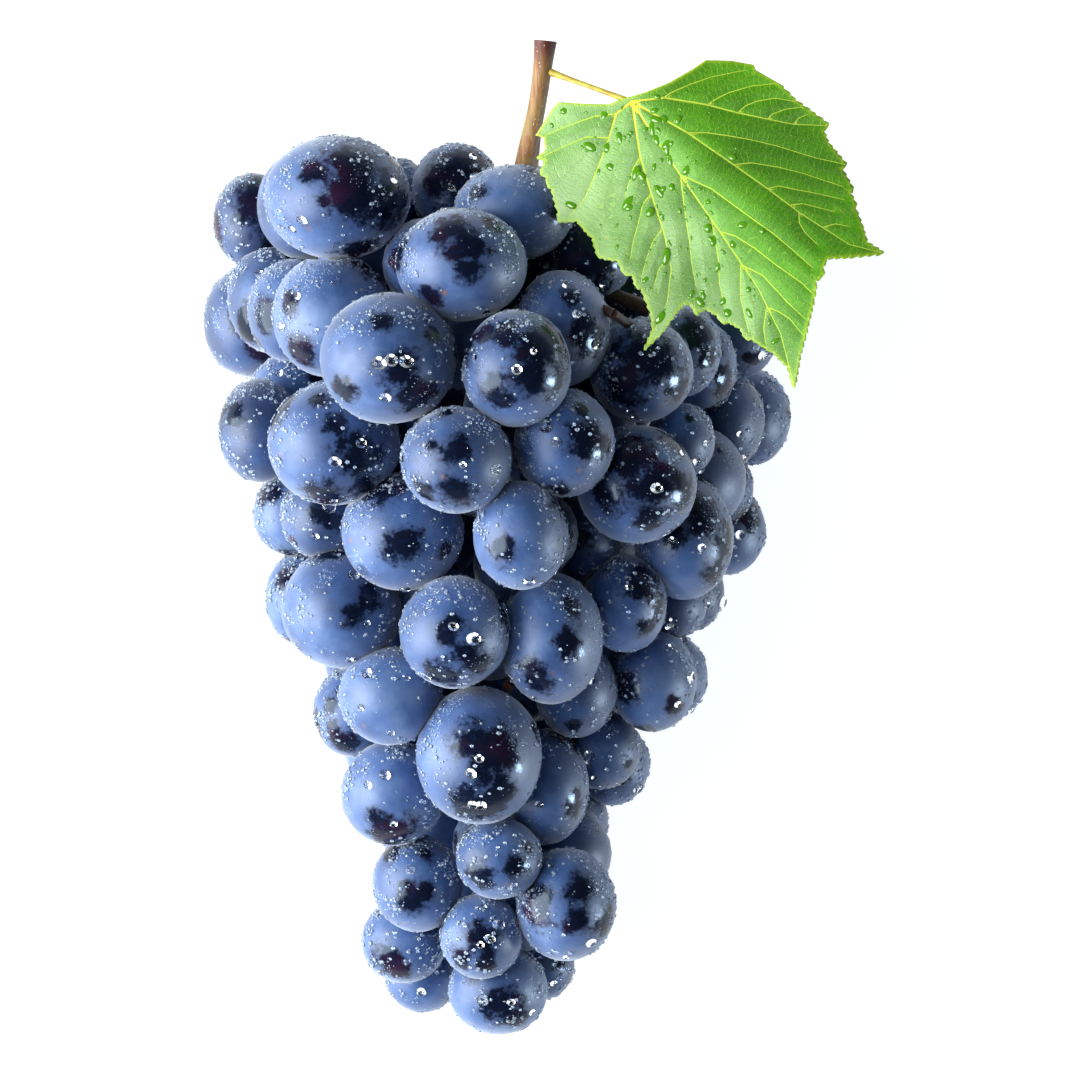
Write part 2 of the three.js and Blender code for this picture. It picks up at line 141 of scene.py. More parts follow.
class ShaderTree:
    """A material's node tree, built by calls."""

    def __init__(self, name: str, kind: str = "materials") -> None:
        """Makes an empty material or world.

        Args:
            name: Its name.
            kind: Which of Blender's lists it is in.
        """
        self.material = getattr(bpy.data, kind).new(name)
        self.material.use_nodes = True
        self.tree = self.material.node_tree
        self.tree.nodes.clear()

    def node(self, kind: str, settings: dict, inputs: dict, output: str | int = 0) -> Wire:
        """Adds any node.

        Args:
            kind: The node's type.
            settings: Its settings, set first.
            inputs: Values or wires for its sockets, by name or number.
            output: The socket to return, by name or number.

        Returns:
            The wire from that output.
        """
        made = self.tree.nodes.new(kind)
        for key, value in settings.items():
            setattr(made, key, value)
        for key, value in inputs.items():
            if isinstance(value, Wire):
                self.tree.links.new(value.socket, made.inputs[key])
            else:
                made.inputs[key].default_value = value
        return Wire(self, made.outputs[output])

    def coordinates(self) -> Wire:
        """Returns the Object coordinates, which are metres in the frame."""
        return self.node("ShaderNodeTexCoord", {}, {}, "Object")

    def attribute(self, name: str) -> Wire:
        """Returns a vertex attribute's value."""
        return self.node("ShaderNodeAttribute", {"attribute_name": name}, {}, "Fac")

    def noise(self, scale: float, detail: float = 4.0, roughness: float = 0.55) -> Wire:
        """Returns a noise whose cells are 1 / scale metres."""
        inputs = {"Vector": self.coordinates(), "Scale": scale, "Detail": detail, "Roughness": roughness}
        return self.node("ShaderNodeTexNoise", {}, inputs, "Fac")

    def cells(self, scale: float, feature: str) -> Wire:
        """Returns the distance that a Voronoi texture of the given feature gives."""
        inputs = {"Vector": self.coordinates(), "Scale": scale}
        return self.node("ShaderNodeTexVoronoi", {"feature": feature}, inputs, "Distance")

    def blend(self, factor: Wire | float, first: Wire | Row, second: Wire | Row) -> Wire:
        """Mixes two colours.

        Args:
            factor: 0 for the first, 1 for the second.
            first: A wire, or red, green and blue.
            second: A wire, or red, green and blue.

        Returns:
            The mixed colour.
        """
        ends = [c if isinstance(c, Wire) else (*c, 1.0) for c in (first, second)]
        return self.node("ShaderNodeMix", {"data_type": "RGBA"}, {0: factor, 6: ends[0], 7: ends[1]}, 2)

    def bump(self, height: Wire, strength: float, distance: float) -> Wire:
        """Returns a normal bumped by a height, in metres of distance."""
        inputs = {"Height": height, "Strength": strength, "Distance": distance}
        return self.node("ShaderNodeBump", {}, inputs)

    def finish(self, **inputs: Wire | float | Row) -> bpy.types.Material:
        """Ends the tree in a Principled shader.

        Args:
            inputs: Its sockets, by name with spaces as underscores.

        Returns:
            The material.
        """
        named = {key.replace("_", " "): value for key, value in inputs.items()}
        shader = self.node("ShaderNodeBsdfPrincipled", {}, named)
        self.node_out(shader)
        return self.material

    def node_out(self, shader: Wire, kind: str = "ShaderNodeOutputMaterial") -> None:
        """Links a shader to the output."""
        out = self.tree.nodes.new(kind)
        self.tree.links.new(shader.socket, out.inputs["Surface"])


# Finishes


@dataclass(frozen=True)
class BerrySkin:
    """Dark glossy skin under a waxy blue bloom that is rubbed off in ragged patches, with pale dew dots
    painted on as glints.
    """

    skin: Row = (0.003, 0.005, 0.016)
    purple: Row = (0.02, 0.006, 0.022)
    # Pale colour of the dew dots: a painted glint of fine water beads.
    dew_glint: Row = (0.42, 0.54, 0.76)
    bloom: Row = (0.022, 0.075, 0.25)
    pale: Row = (0.19, 0.28, 0.45)
    deep: Row = (0.004, 0.018, 0.08)
    scar: Row = (0.2, 0.085, 0.04)
    broad_noise: Row = (85.0, 3.0)
    ragged_noise: Row = (330.0, 5.0, 0.6)
    small_noise: Row = (1100.0, 4.0, 0.6)
    fine_noise: Row = (3600.0, 3.0)
    dew_scale: float = 2100.0
    edge_raggedness: Row = (2.2, 0.9, 0.8)
    edge: Place = (-0.14, 0.42)
    worn: Place = (-0.45, 0.1)
    tone_spread: Place = (1.3, 0.5)
    deep_to_blue: Place = (0.1, 0.85)
    blue_to_pale: Place = (0.55, 1.25)
    pale_strength: float = 0.5
    grains: Place = (0.45, 0.8)
    grain_strength: float = 0.14
    worn_strength: float = 0.55
    skin_to_purple: Place = (0.5, 0.72)
    stains: Place = (0.5, 0.78)
    stain_strength: float = 0.45
    dots: Place = (0.12, 0.4)
    wetted: Place = (0.3, 0.5)
    dew_spread: Place = (1.3, 0.8)
    glint_on_bloom: float = 0.7
    glint_on_skin: float = 0.45
    rough_bloom: Place = (0.45, 0.56)
    rough_skin: Place = (0.08, 0.2)
    rough_where: Place = (0.35, 0.7)
    bloom_relief: Place = (0.3, 0.4)
    skin_relief: Place = (0.6, 1.2)
    bloom_bump: Place = (0.4, 0.00016)
    skin_bump: Place = (0.35, 0.00016)
    sheen: float = 0.6
    sheen_rough: float = 0.42
    sheen_tint: Row = (0.82, 0.91, 1.0)
    shine_bloom: float = 0.8
    bloom_tint: Row = (0.82, 0.91, 1.0)
    shine_skin: float = 0.36
    skin_tint: Row = (0.55, 0.75, 1.0)

    def material(self) -> bpy.types.Material:
        """Makes the skin: dusty with bloom, and glossy where it is rubbed off.

        Returns:
            The material.
        """
        tree = ShaderTree("berry_skin")
        broad = tree.noise(*self.broad_noise)
        ragged = tree.noise(*self.ragged_noise)
        small = tree.noise(*self.small_noise)
        fine = tree.noise(*self.fine_noise)
        torn, nibbled, swayed = self.edge_raggedness
        outline = (ragged - 0.5) * torn + (small - 0.5) * nibbled + (broad - 0.5) * swayed
        patch = tree.attribute("rub") + outline
        rubbed = patch.ramp(*self.edge)
        thin = patch.ramp(*self.worn)
        clouded, streaked = self.tone_spread
        tone = tree.attribute("tone") + (broad - 0.5) * clouded + (ragged - 0.5) * streaked
        waxy = tree.blend(tone.ramp(*self.deep_to_blue), self.deep, self.bloom)
        waxy = tree.blend(tone.ramp(*self.blue_to_pale) * self.pale_strength, waxy, self.pale)
        waxy = tree.blend(fine.ramp(*self.grains) * self.grain_strength, waxy, self.pale)
        waxy = tree.blend(thin * self.worn_strength, waxy, self.deep)
        waxy = tree.blend(tree.attribute("scar"), waxy, self.scar)
        bare = tree.blend(broad.ramp(*self.skin_to_purple), self.skin, self.purple)
        bare = tree.blend(small.ramp(*self.stains) * self.stain_strength, bare, self.deep)
        # Dew dots where the berry is wet: painted glints, pale on the bloom and on the bare skin. The same
        # dots also bump the surface.
        dots = tree.cells(self.dew_scale, "F1").ramp(*self.dots, 1.0, 0.0)
        gathered, scattered = self.dew_spread
        wet = tree.attribute("wet") + (small - 0.5) * gathered + (ragged - 0.5) * scattered
        dew_glint = dots * wet.ramp(*self.wetted)
        waxy = tree.blend(dew_glint * self.glint_on_bloom, waxy, self.dew_glint)
        bare = tree.blend(dew_glint * self.glint_on_skin, bare, self.dew_glint)
        dust, ridges = self.bloom_relief
        dusty = tree.node(
            "ShaderNodeBsdfPrincipled",
            {},
            {
                "Base Color": waxy,
                "Roughness": fine.ramp(*NOISE_SPAN, *self.rough_bloom),
                "Normal": tree.bump(fine * dust + ragged * ridges + dew_glint, *self.bloom_bump),
                "Sheen Weight": self.sheen,
                "Sheen Roughness": self.sheen_rough,
                "Sheen Tint": (*self.sheen_tint, 1.0),
                "Specular IOR Level": self.shine_bloom,
                "Specular Tint": (*self.bloom_tint, 1.0),
            },
        )
        pits, beads = self.skin_relief
        glossy = tree.node(
            "ShaderNodeBsdfPrincipled",
            {},
            {
                "Base Color": bare,
                "Roughness": small.ramp(*self.rough_where, *self.rough_skin),
                "Normal": tree.bump(small * pits + dew_glint * beads, *self.skin_bump),
                "Specular IOR Level": self.shine_skin,
                "Specular Tint": (*self.skin_tint, 1.0),
            },
        )
        tree.node_out(tree.node("ShaderNodeMixShader", {}, {0: rubbed, 1: dusty, 2: glossy}))
        return tree.material


@dataclass(frozen=True)
class Water:
    """Clear water: drops that bend what is under them, or small beads whose pale, partly opaque colour is a
    painted glint.
    """

    name: str
    colour: Row = (0.97, 0.985, 1.0)
    clear: float = 1.0
    bending: float = 1.33
    rough: float = 0.03
    shine: float = 0.9

    def material(self) -> bpy.types.Material:
        """Makes the water.

        Returns:
            The material.
        """
        return ShaderTree(self.name).finish(
            Base_Color=(*self.colour, 1.0),
            Roughness=self.rough,
            IOR=self.bending,
            Transmission_Weight=self.clear,
            Specular_IOR_Level=self.shine,
        )


CLEAR_WATER = Water("drops")
# The beads' pale, partly opaque colour is a painted glint.
BEAD_WATER = Water("beads", (0.55, 0.68, 0.86), 0.66, 1.5)
LEAF_WATER = Water("leaf_drops", (0.065, 0.22, 0.006), 0.0)


@dataclass(frozen=True)
class Bark:
    """Green-brown bark with lengthwise streaks and small pale pores, darker at the cut end, and painted
    near-black shade where it runs in among the berries.
    """

    tan: Row = (0.36, 0.19, 0.075)
    brown: Row = (0.19, 0.075, 0.032)
    green: Row = (0.3, 0.21, 0.07)
    cut: Row = (0.09, 0.018, 0.012)
    pore: Row = (0.6, 0.5, 0.36)
    # Near-black painted shade for the stalk where it runs in among the berries.
    dark: Row = (0.03, 0.008, 0.005)
    streak_scale: Row = (1400.0, 110.0, 1400.0)
    streak_detail: float = 5.0
    broad_scale: float = 120.0
    pore_scale: float = 900.0
    pore_strength: float = 0.6
    pores: Place = (0.12, 0.22)
    brown_to_tan: Place = (0.35, 0.65)
    green_where: Place = (0.4, 0.7)
    cut_end: Place = (0.5, 0.95)
    rough: float = 0.62
    relief: Place = (0.7, 0.4)
    bump: Place = (0.8, 0.0003)

    def material(self) -> bpy.types.Material:
        """Makes the bark.

        Returns:
            The material.
        """
        tree = ShaderTree("bark")
        drawn_out = {"Vector": tree.coordinates(), "Scale": self.streak_scale}
        along = tree.node("ShaderNodeMapping", {}, drawn_out)
        grain = {"Vector": along, "Scale": 1.0, "Detail": self.streak_detail}
        streaks = tree.node("ShaderNodeTexNoise", {}, grain, "Fac")
        broad = tree.noise(self.broad_scale)
        pores = tree.cells(self.pore_scale, "F1").ramp(*self.pores, 1.0, 0.0)
        age = tree.attribute("age")
        colour = tree.blend(streaks.ramp(*self.brown_to_tan), self.brown, self.tan)
        colour = tree.blend(broad.ramp(*self.green_where) * (1.0 - age), colour, self.green)
        colour = tree.blend(age.ramp(*self.cut_end), colour, self.cut)
        colour = tree.blend(pores * self.pore_strength, colour, self.pore)
        # Painted shade: near black where the stalk runs in among the berries.
        colour = tree.blend(tree.attribute("deep"), colour, self.dark)
        of_streaks, of_pores = self.relief
        normal = tree.bump(streaks * of_streaks + pores * of_pores, *self.bump)
        return tree.finish(Base_Color=colour, Roughness=self.rough, Normal=normal)


@dataclass(frozen=True)
class LeafStalkSkin:
    """Smooth yellow-green skin, more orange towards the blade."""

    light: Row = (0.5, 0.48, 0.05)
    dark: Row = (0.42, 0.24, 0.03)
    blotch_scale: float = 250.0
    blotches: Place = (0.4, 0.65)
    grain_scale: float = 1500.0
    rough: float = 0.45
    bump: Place = (0.4, 0.0002)

    def material(self) -> bpy.types.Material:
        """Makes the leaf stalk's skin.

        Returns:
            The material.
        """
        tree = ShaderTree("leaf_stalk")
        blotched = tree.noise(self.blotch_scale).ramp(*self.blotches)
        colour = tree.blend(blotched, self.light, self.dark)
        normal = tree.bump(tree.noise(self.grain_scale), *self.bump)
        return tree.finish(Base_Color=colour, Roughness=self.rough, Normal=normal)


@dataclass(frozen=True)
class Blade:
    """Green with pale veins, rungs of fine veins between, a yellow edge and a damp, shinier left part that
    is also painted paler as a painted sheen.
    """

    green: Row = (0.036, 0.19, 0.001)
    fresh: Row = (0.06, 0.27, 0.001)
    shade: Row = (0.02, 0.125, 0.001)
    vein: Row = (0.4, 0.56, 0.045)
    root: Row = (0.75, 0.55, 0.04)
    edge: Row = (0.42, 0.58, 0.015)
    # Pale colour of the damp left part: a painted sheen.
    painted_sheen: Row = (0.46, 0.6, 0.36)
    rung: float = 0.55
    rung_sway: float = 2.4
    always_positive: float = 50.0
    rung_strength: float = 0.24
    rung_width: Place = (0.02, 0.11)
    net_width: Place = (0.02, 0.14)
    vein_side: Place = (0.6, 1.4)
    vein_end: Place = (0.35, 0.5)
    green_to_fresh: Place = (0.35, 0.65)
    shaded: Place = (0.35, 0.6)
    painted_sheen_strength: Place = (0.15, 0.45)
    rough_spread: Place = (-0.04, 0.06)
    net_strength: float = 0.1
    shade_strength: float = 0.4
    edge_strength: float = 0.85
    broad_noise: Row = (70.0, 3.0)
    sway_noise: Row = (420.0, 2.0)
    fine_noise: Row = (1400.0, 4.0)
    net_scale: float = 1500.0
    dry_rough: float = 0.5
    damp_rough: float = 0.3
    shine: float = 0.27
    relief: Row = (0.5, 0.2, 0.25, 0.5)
    bump: Place = (0.6, 0.00025)

    def material(self) -> bpy.types.Material:
        """Makes the blade with its veins, its rim, and the painted sheen on its damp part.

        Returns:
            The material.
        """
        tree = ShaderTree("leaf_blade")
        broad = tree.noise(*self.broad_noise)
        fine = tree.noise(*self.fine_noise)
        small = tree.cells(self.net_scale, "DISTANCE_TO_EDGE").ramp(*self.net_width, 1.0, 0.0)
        apart = tree.attribute("apart")
        across = tree.attribute("across").maths("ABSOLUTE")
        beside = across.maths("DIVIDE", tree.attribute("width"))
        vein = beside.ramp(*self.vein_side, 1.0, 0.0) * apart.ramp(*self.vein_end, 1.0, 0.0)
        sway = (tree.noise(*self.sway_noise) - 0.5) * self.rung_sway
        swayed = tree.attribute("along") + sway + self.always_positive
        rungs = swayed.maths("PINGPONG", self.rung).ramp(*self.rung_width, 1.0, 0.0)
        rim = tree.attribute("rim")
        root = tree.attribute("root")
        colour = tree.blend(broad.ramp(*self.green_to_fresh), self.green, self.fresh)
        shaded = (1.0 - fine.ramp(*self.shaded)) * self.shade_strength
        colour = tree.blend(shaded, colour, self.shade)
        colour = tree.blend(small * self.net_strength, colour, self.vein)
        colour = tree.blend(rungs * self.rung_strength, colour, self.vein)
        # Painted sheen: the damp left part is blended towards a pale colour that stands in for the lamp's
        # sheen. It is also less rough there.
        damp_and_sheen = tree.attribute("damp_and_sheen")
        colour = tree.blend(damp_and_sheen * broad.ramp(*NOISE_SPAN, *self.painted_sheen_strength), colour, self.painted_sheen)
        colour = tree.blend(rim * self.edge_strength, colour, self.edge)
        colour = tree.blend(vein, colour, tree.blend(root, self.vein, self.root))
        of_rungs, of_net, of_grain, of_vein = self.relief
        height = (1.0 - rungs) * of_rungs + (1.0 - small) * of_net + fine * of_grain - vein * of_vein
        rough = damp_and_sheen.ramp(0.0, 1.0, self.dry_rough, self.damp_rough)
        return tree.finish(
            Base_Color=colour,
            Roughness=rough + fine.ramp(*NOISE_SPAN, *self.rough_spread),
            Normal=tree.bump(height, *self.bump),
            Specular_IOR_Level=self.shine,
        )


@dataclass(frozen=True)
class Ground:
    """Plain white, lit a little from within as a light table is."""

    colour: Row = (0.3, 0.3, 0.3)
    light: Row = (0.95, 0.98, 1.0)
    glow: float = 0.96
    rough: float = 0.7

    def material(self) -> bpy.types.Material:
        """Makes the white ground.

        Returns:
            The material.
        """
        return ShaderTree("ground").finish(
            Base_Color=(*self.colour, 1.0),
            Roughness=self.rough,
            Emission_Color=(*self.light, 1.0),
            Emission_Strength=self.glow,
        )


# Shared ways of making a mesh


def alone(obj: bpy.types.Object) -> None:
    """Selects one object and makes it active.

    Args:
        obj: The object.
    """
    bpy.ops.object.select_all(action="DESELECT")
    obj.select_set(True)
    bpy.context.view_layer.objects.active = obj


def made(name: str) -> bpy.types.Object:
    """Names the object that an operator has just added.

    Args:
        name: Its name.

    Returns:
        The object.
    """
    obj = bpy.context.active_object
    obj.name = name
    obj.data.name = name
    return obj


def settle(obj: bpy.types.Object) -> None:
    """Puts an object's place, turn and size into its mesh."""
    alone(obj)
    bpy.ops.object.transform_apply(location=True, rotation=True, scale=True)


def joined(name: str, parts: list[bpy.types.Object]) -> bpy.types.Object:
    """Joins objects in one piece.

    Args:
        name: The piece's name.
        parts: The objects.

    Returns:
        The piece.
    """
    alone(parts[0])
    for part in parts:
        part.select_set(True)
    bpy.ops.object.join()
    return made(name)


def smooth(obj: bpy.types.Object) -> None:
    """Shades an object smooth all over."""
    alone(obj)
    bpy.ops.object.shade_smooth()


def put_attribute(mesh: bpy.types.Mesh, name: str, values: np.ndarray) -> None:
    """Gives a mesh one value a vertex."""
    mesh.attributes.new(name, "FLOAT", "POINT").data.foreach_set("value", values.astype(np.float32))


def vertices_of(mesh: bpy.types.Mesh) -> np.ndarray:
    """Reads a mesh's vertices.

    Args:
        mesh: The mesh.

    Returns:
        Rows of x, y and z.
    """
    flat = np.empty(len(mesh.vertices) * 3, dtype=np.float64)
    mesh.vertices.foreach_get("co", flat)
    return flat.reshape(-1, 3)


def put_vertices(mesh: bpy.types.Mesh, rows: np.ndarray) -> None:
    """Moves a mesh's vertices to the given rows."""
    mesh.vertices.foreach_set("co", rows.astype(np.float32).ravel())
    mesh.update()


def unit(rows: np.ndarray) -> np.ndarray:
    """Returns rows scaled to a length of 1."""
    return rows / np.maximum(np.linalg.norm(rows, axis=-1, keepdims=True), LEAST_LENGTH)


@dataclass(frozen=True)
class Dew:
    """Where a berry is wet: most along its rims and at the top, and in clumps."""

    clump_scale: float = 2.2
    small_scale: float = 6.5
    small_share: float = 0.6
    cover: float = 0.42
    contrast: float = 2.2
    least: float = 0.02
    rim_from: float = 0.9
    upward: float = 0.55
    sideways: float = 0.35
    everywhere: float = 0.35
    middle_share: float = 0.14
    low_share: float = 0.25
    lowest: float = -0.15

    def wetness(self, away: np.ndarray, seed: int) -> np.ndarray:
        """Works out how wet a berry is, from 0 to 1.

        Args:
            away: Unit rows from its centre.
            seed: Its random seed.

        Returns:
            One value a row.
        """
        across, up, front = away.T
        rim = np.minimum(1.0, np.hypot(across, up) / self.rim_from) ** 2
        topmost = np.maximum(0.0, self.upward * up + self.sideways * np.abs(across) + self.everywhere)
        side = self.low_share + (1 - self.low_share) * topmost
        offset = Vector((seed, 0.0, 3.0))
        clumps = np.array([
            noise.noise(Vector(row) * self.clump_scale + offset)
            + self.small_share * noise.noise(Vector(row) * self.small_scale + offset)
            for row in away
        ])
        patchy = np.clip(self.cover + self.contrast * clumps, self.least, 1.0)
        rimmed = self.middle_share + (1 - self.middle_share) * rim
        return rimmed * side * patchy * (front > self.lowest)


def mesh_object(name: str, vertices: np.ndarray, faces: list) -> bpy.types.Object:
    """Makes an object from vertices and faces.

    Args:
        name: Its name.
        vertices: Rows in metres.
        faces: Lists of vertex numbers.

    Returns:
        The object.
    """
    mesh = bpy.data.meshes.new(name)
    mesh.from_pydata(vertices.tolist(), [], faces)
    obj = bpy.data.objects.new(name, mesh)
    bpy.context.collection.objects.link(obj)
    return obj


def copies(name: str, shape: tuple, laid: list, shift: np.ndarray) -> bpy.types.Object:
    """Sets copies of a shape in one smooth mesh.

    Args:
        name: The mesh's name.
        shape: The shape's vertices and faces.
        laid: For each copy its middle, and its three ways as rows.
        shift: The shift from the plan to the frame.

    Returns:
        The mesh's object.
    """
    corners, sides = shape
    rows = [middle + corners @ frame for middle, frame in laid]
    starts = range(0, len(rows) * len(corners), len(corners))
    faces = [[corner + start for corner in side] for start in starts for side in sides]
    obj = mesh_object(name, (np.concatenate(rows) + shift) * MM, faces)
    smooth(obj)
    return obj


def dress(obj: bpy.types.Object, material: bpy.types.Material, slot: str, *nodes: str) -> bpy.types.Object:
    """Gives a piece its material and its body, and hides the CAD nodes that it replaces.

    Args:
        obj: The piece.
        material: Its material.
        slot: Not used.
        nodes: The CAD nodes that it replaces.

    Returns:
        The piece.
    """
    obj.data.materials.clear()
    obj.data.materials.append(material)
    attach(obj, "root")
    for node in nodes:
        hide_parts(node)
    triangles = sum(len(face.vertices) - 2 for face in obj.data.polygons)
    LOG.info("%s: %d triangles", obj.name, triangles)
    return obj


# The plan of the bunch, in millimetres before the frame's shift


@dataclass
class Berry:
    """One berry: its centre, its half-sizes and the rubbed patches of its bloom."""

    x: float
    y: float
    z: float
    a: float
    b: float
    c: float
    patches: list[Row] | None = None
    shown: bool = True

    @property
    def radius(self) -> float:
        """The mean half-size."""
        return (self.a + self.b + self.c) / 3

    @property
    def centre(self) -> np.ndarray:
        """The centre as a row."""
        return np.array((self.x, self.y, self.z))

    @property
    def sizes(self) -> np.ndarray:
        """The half-sizes as a row."""
        return np.array((self.a, self.b, self.c))

    def within(self, x: float, y: float, margin: float) -> bool:
        """Whether a point of the footprint lies within the outline, grown by a margin."""
        return math.hypot((x - self.x) / (self.a + margin), (y - self.y) / (self.b + margin)) < 1


class SeededRandom:
    """The same simple random draw as the solids use."""

    MULTIPLIER = 1664525
    INCREMENT = 1013904223
    MODULUS = 4294967296

    def __init__(self, seed: int) -> None:
        """Starts the draw."""
        self.state = seed

    def __call__(self) -> float:
        """Returns the next number from 0 to 1."""
        self.state = (self.state * self.MULTIPLIER + self.INCREMENT) % self.MODULUS
        return self.state / self.MODULUS


def angles(rows: np.ndarray, way: np.ndarray) -> np.ndarray:
    """Returns the angles between unit rows and a way."""
    return np.arccos(np.clip(rows @ way, -1, 1))


def lerp(start: Amount, end: Amount, share: Amount) -> Amount:
    """Returns what lies between two numbers or rows."""
    return start + (end - start) * share


# x, y, half-width and half-length of the berries that face up, from the nearest to the deepest
FACE_BERRIES: list[Row] = [
    (-30, 36, 13.6, 13), (-4.6, 34, 10.8, 11.6), (-12.2, -43, 12.6, 13.8), (-15.6, 54.7, 13, 11.2),
    (-16.6, 15.9, 11, 10.6), (-17, -18.3, 11, 11.2), (4.8, 19.3, 10, 10.8), (19.2, 11.1, 12, 11.8),
    (-11.8, -79.5, 8.2, 8.6), (-24.6, -68.9, 9, 9.8), (-40.4, 68.3, 14.6, 12.4), (-41, 19.3, 13.2, 12.4),
    (-27.4, 1.7, 12.2, 11.8), (-3.8, 0.9, 9.4, 10.8), (2.2, -19.5, 10.4, 13.2), (-41.4, 44.7, 12, 12.4),
    (4.2, 42.1, 9.8, 11.6), (-39.6, -13.7, 12, 12), (-5.2, 65.3, 12, 9.6), (17, -12.7, 8.4, 9.8),
    (28.8, 0.5, 10, 12.6), (-29.8, -31.1, 10.4, 9.8), (7.2, -30.1, 8.2, 9.6), (1, -49.5, 8.8, 11.6),
    (-8.2, -63.7, 8.6, 8.2), (-27.4, -80.9, 8.6, 8.4), (-8.4, -90.5, 10, 9.2), (5.2, -73.1, 10, 11.4),
    (20.2, 33.9, 10.4, 10.4), (-49.8, 45.9, 8.8, 10.4), (22.6, -28.1, 8.8, 10.4), (-29.4, -50.7, 10.4, 10.6),
    (12.2, -42.1, 8, 8), (-43.4, 4.9, 8.4, 8.8), (8.8, -0.1, 7.6, 8.8), (29, 37.9, 7.2, 9),
    (32.2, 34.9, 7.4, 9.4), (28.2, 19.9, 6.8, 7.6), (37.6, 24.3, 7.8, 9.8), (-54.2, 48.7, 8.8, 11),
    (-56.2, 21.9, 8.2, 10.4), (-49.8, 28.9, 8.8, 8.8), (-47.2, -11.7, 8, 9.6), (-37.4, -34.5, 8, 9.2),
    (-50, 5.3, 7.6, 8.4), (-16.8, 69.9, 8.8, 9.6), (9.2, 56.9, 9.6, 9), (14.6, 48.9, 8.4, 8.4),
    (26.2, -27.5, 7.6, 8.8), (14.6, -45.3, 7.6, 8.4), (5.8, -56.7, 8, 9.2), (36, 10.5, 7.2, 8),
    (37.8, 1.9, 8, 9), (26.6, -13.1, 6.8, 6.8), (29.8, -10.5, 7.4, 8), (42.8, 24.9, 8, 9.8),
    (39.4, 40.9, 8.4, 8.4), (-58.6, 44.3, 9.6, 11.4), (-58, 64.5, 8, 9.6), (-28.8, 67.9, 8, 8.8),
    (0.2, -86.1, 6.8, 6.8), (-23.8, -87.7, 7.6, 8),
]

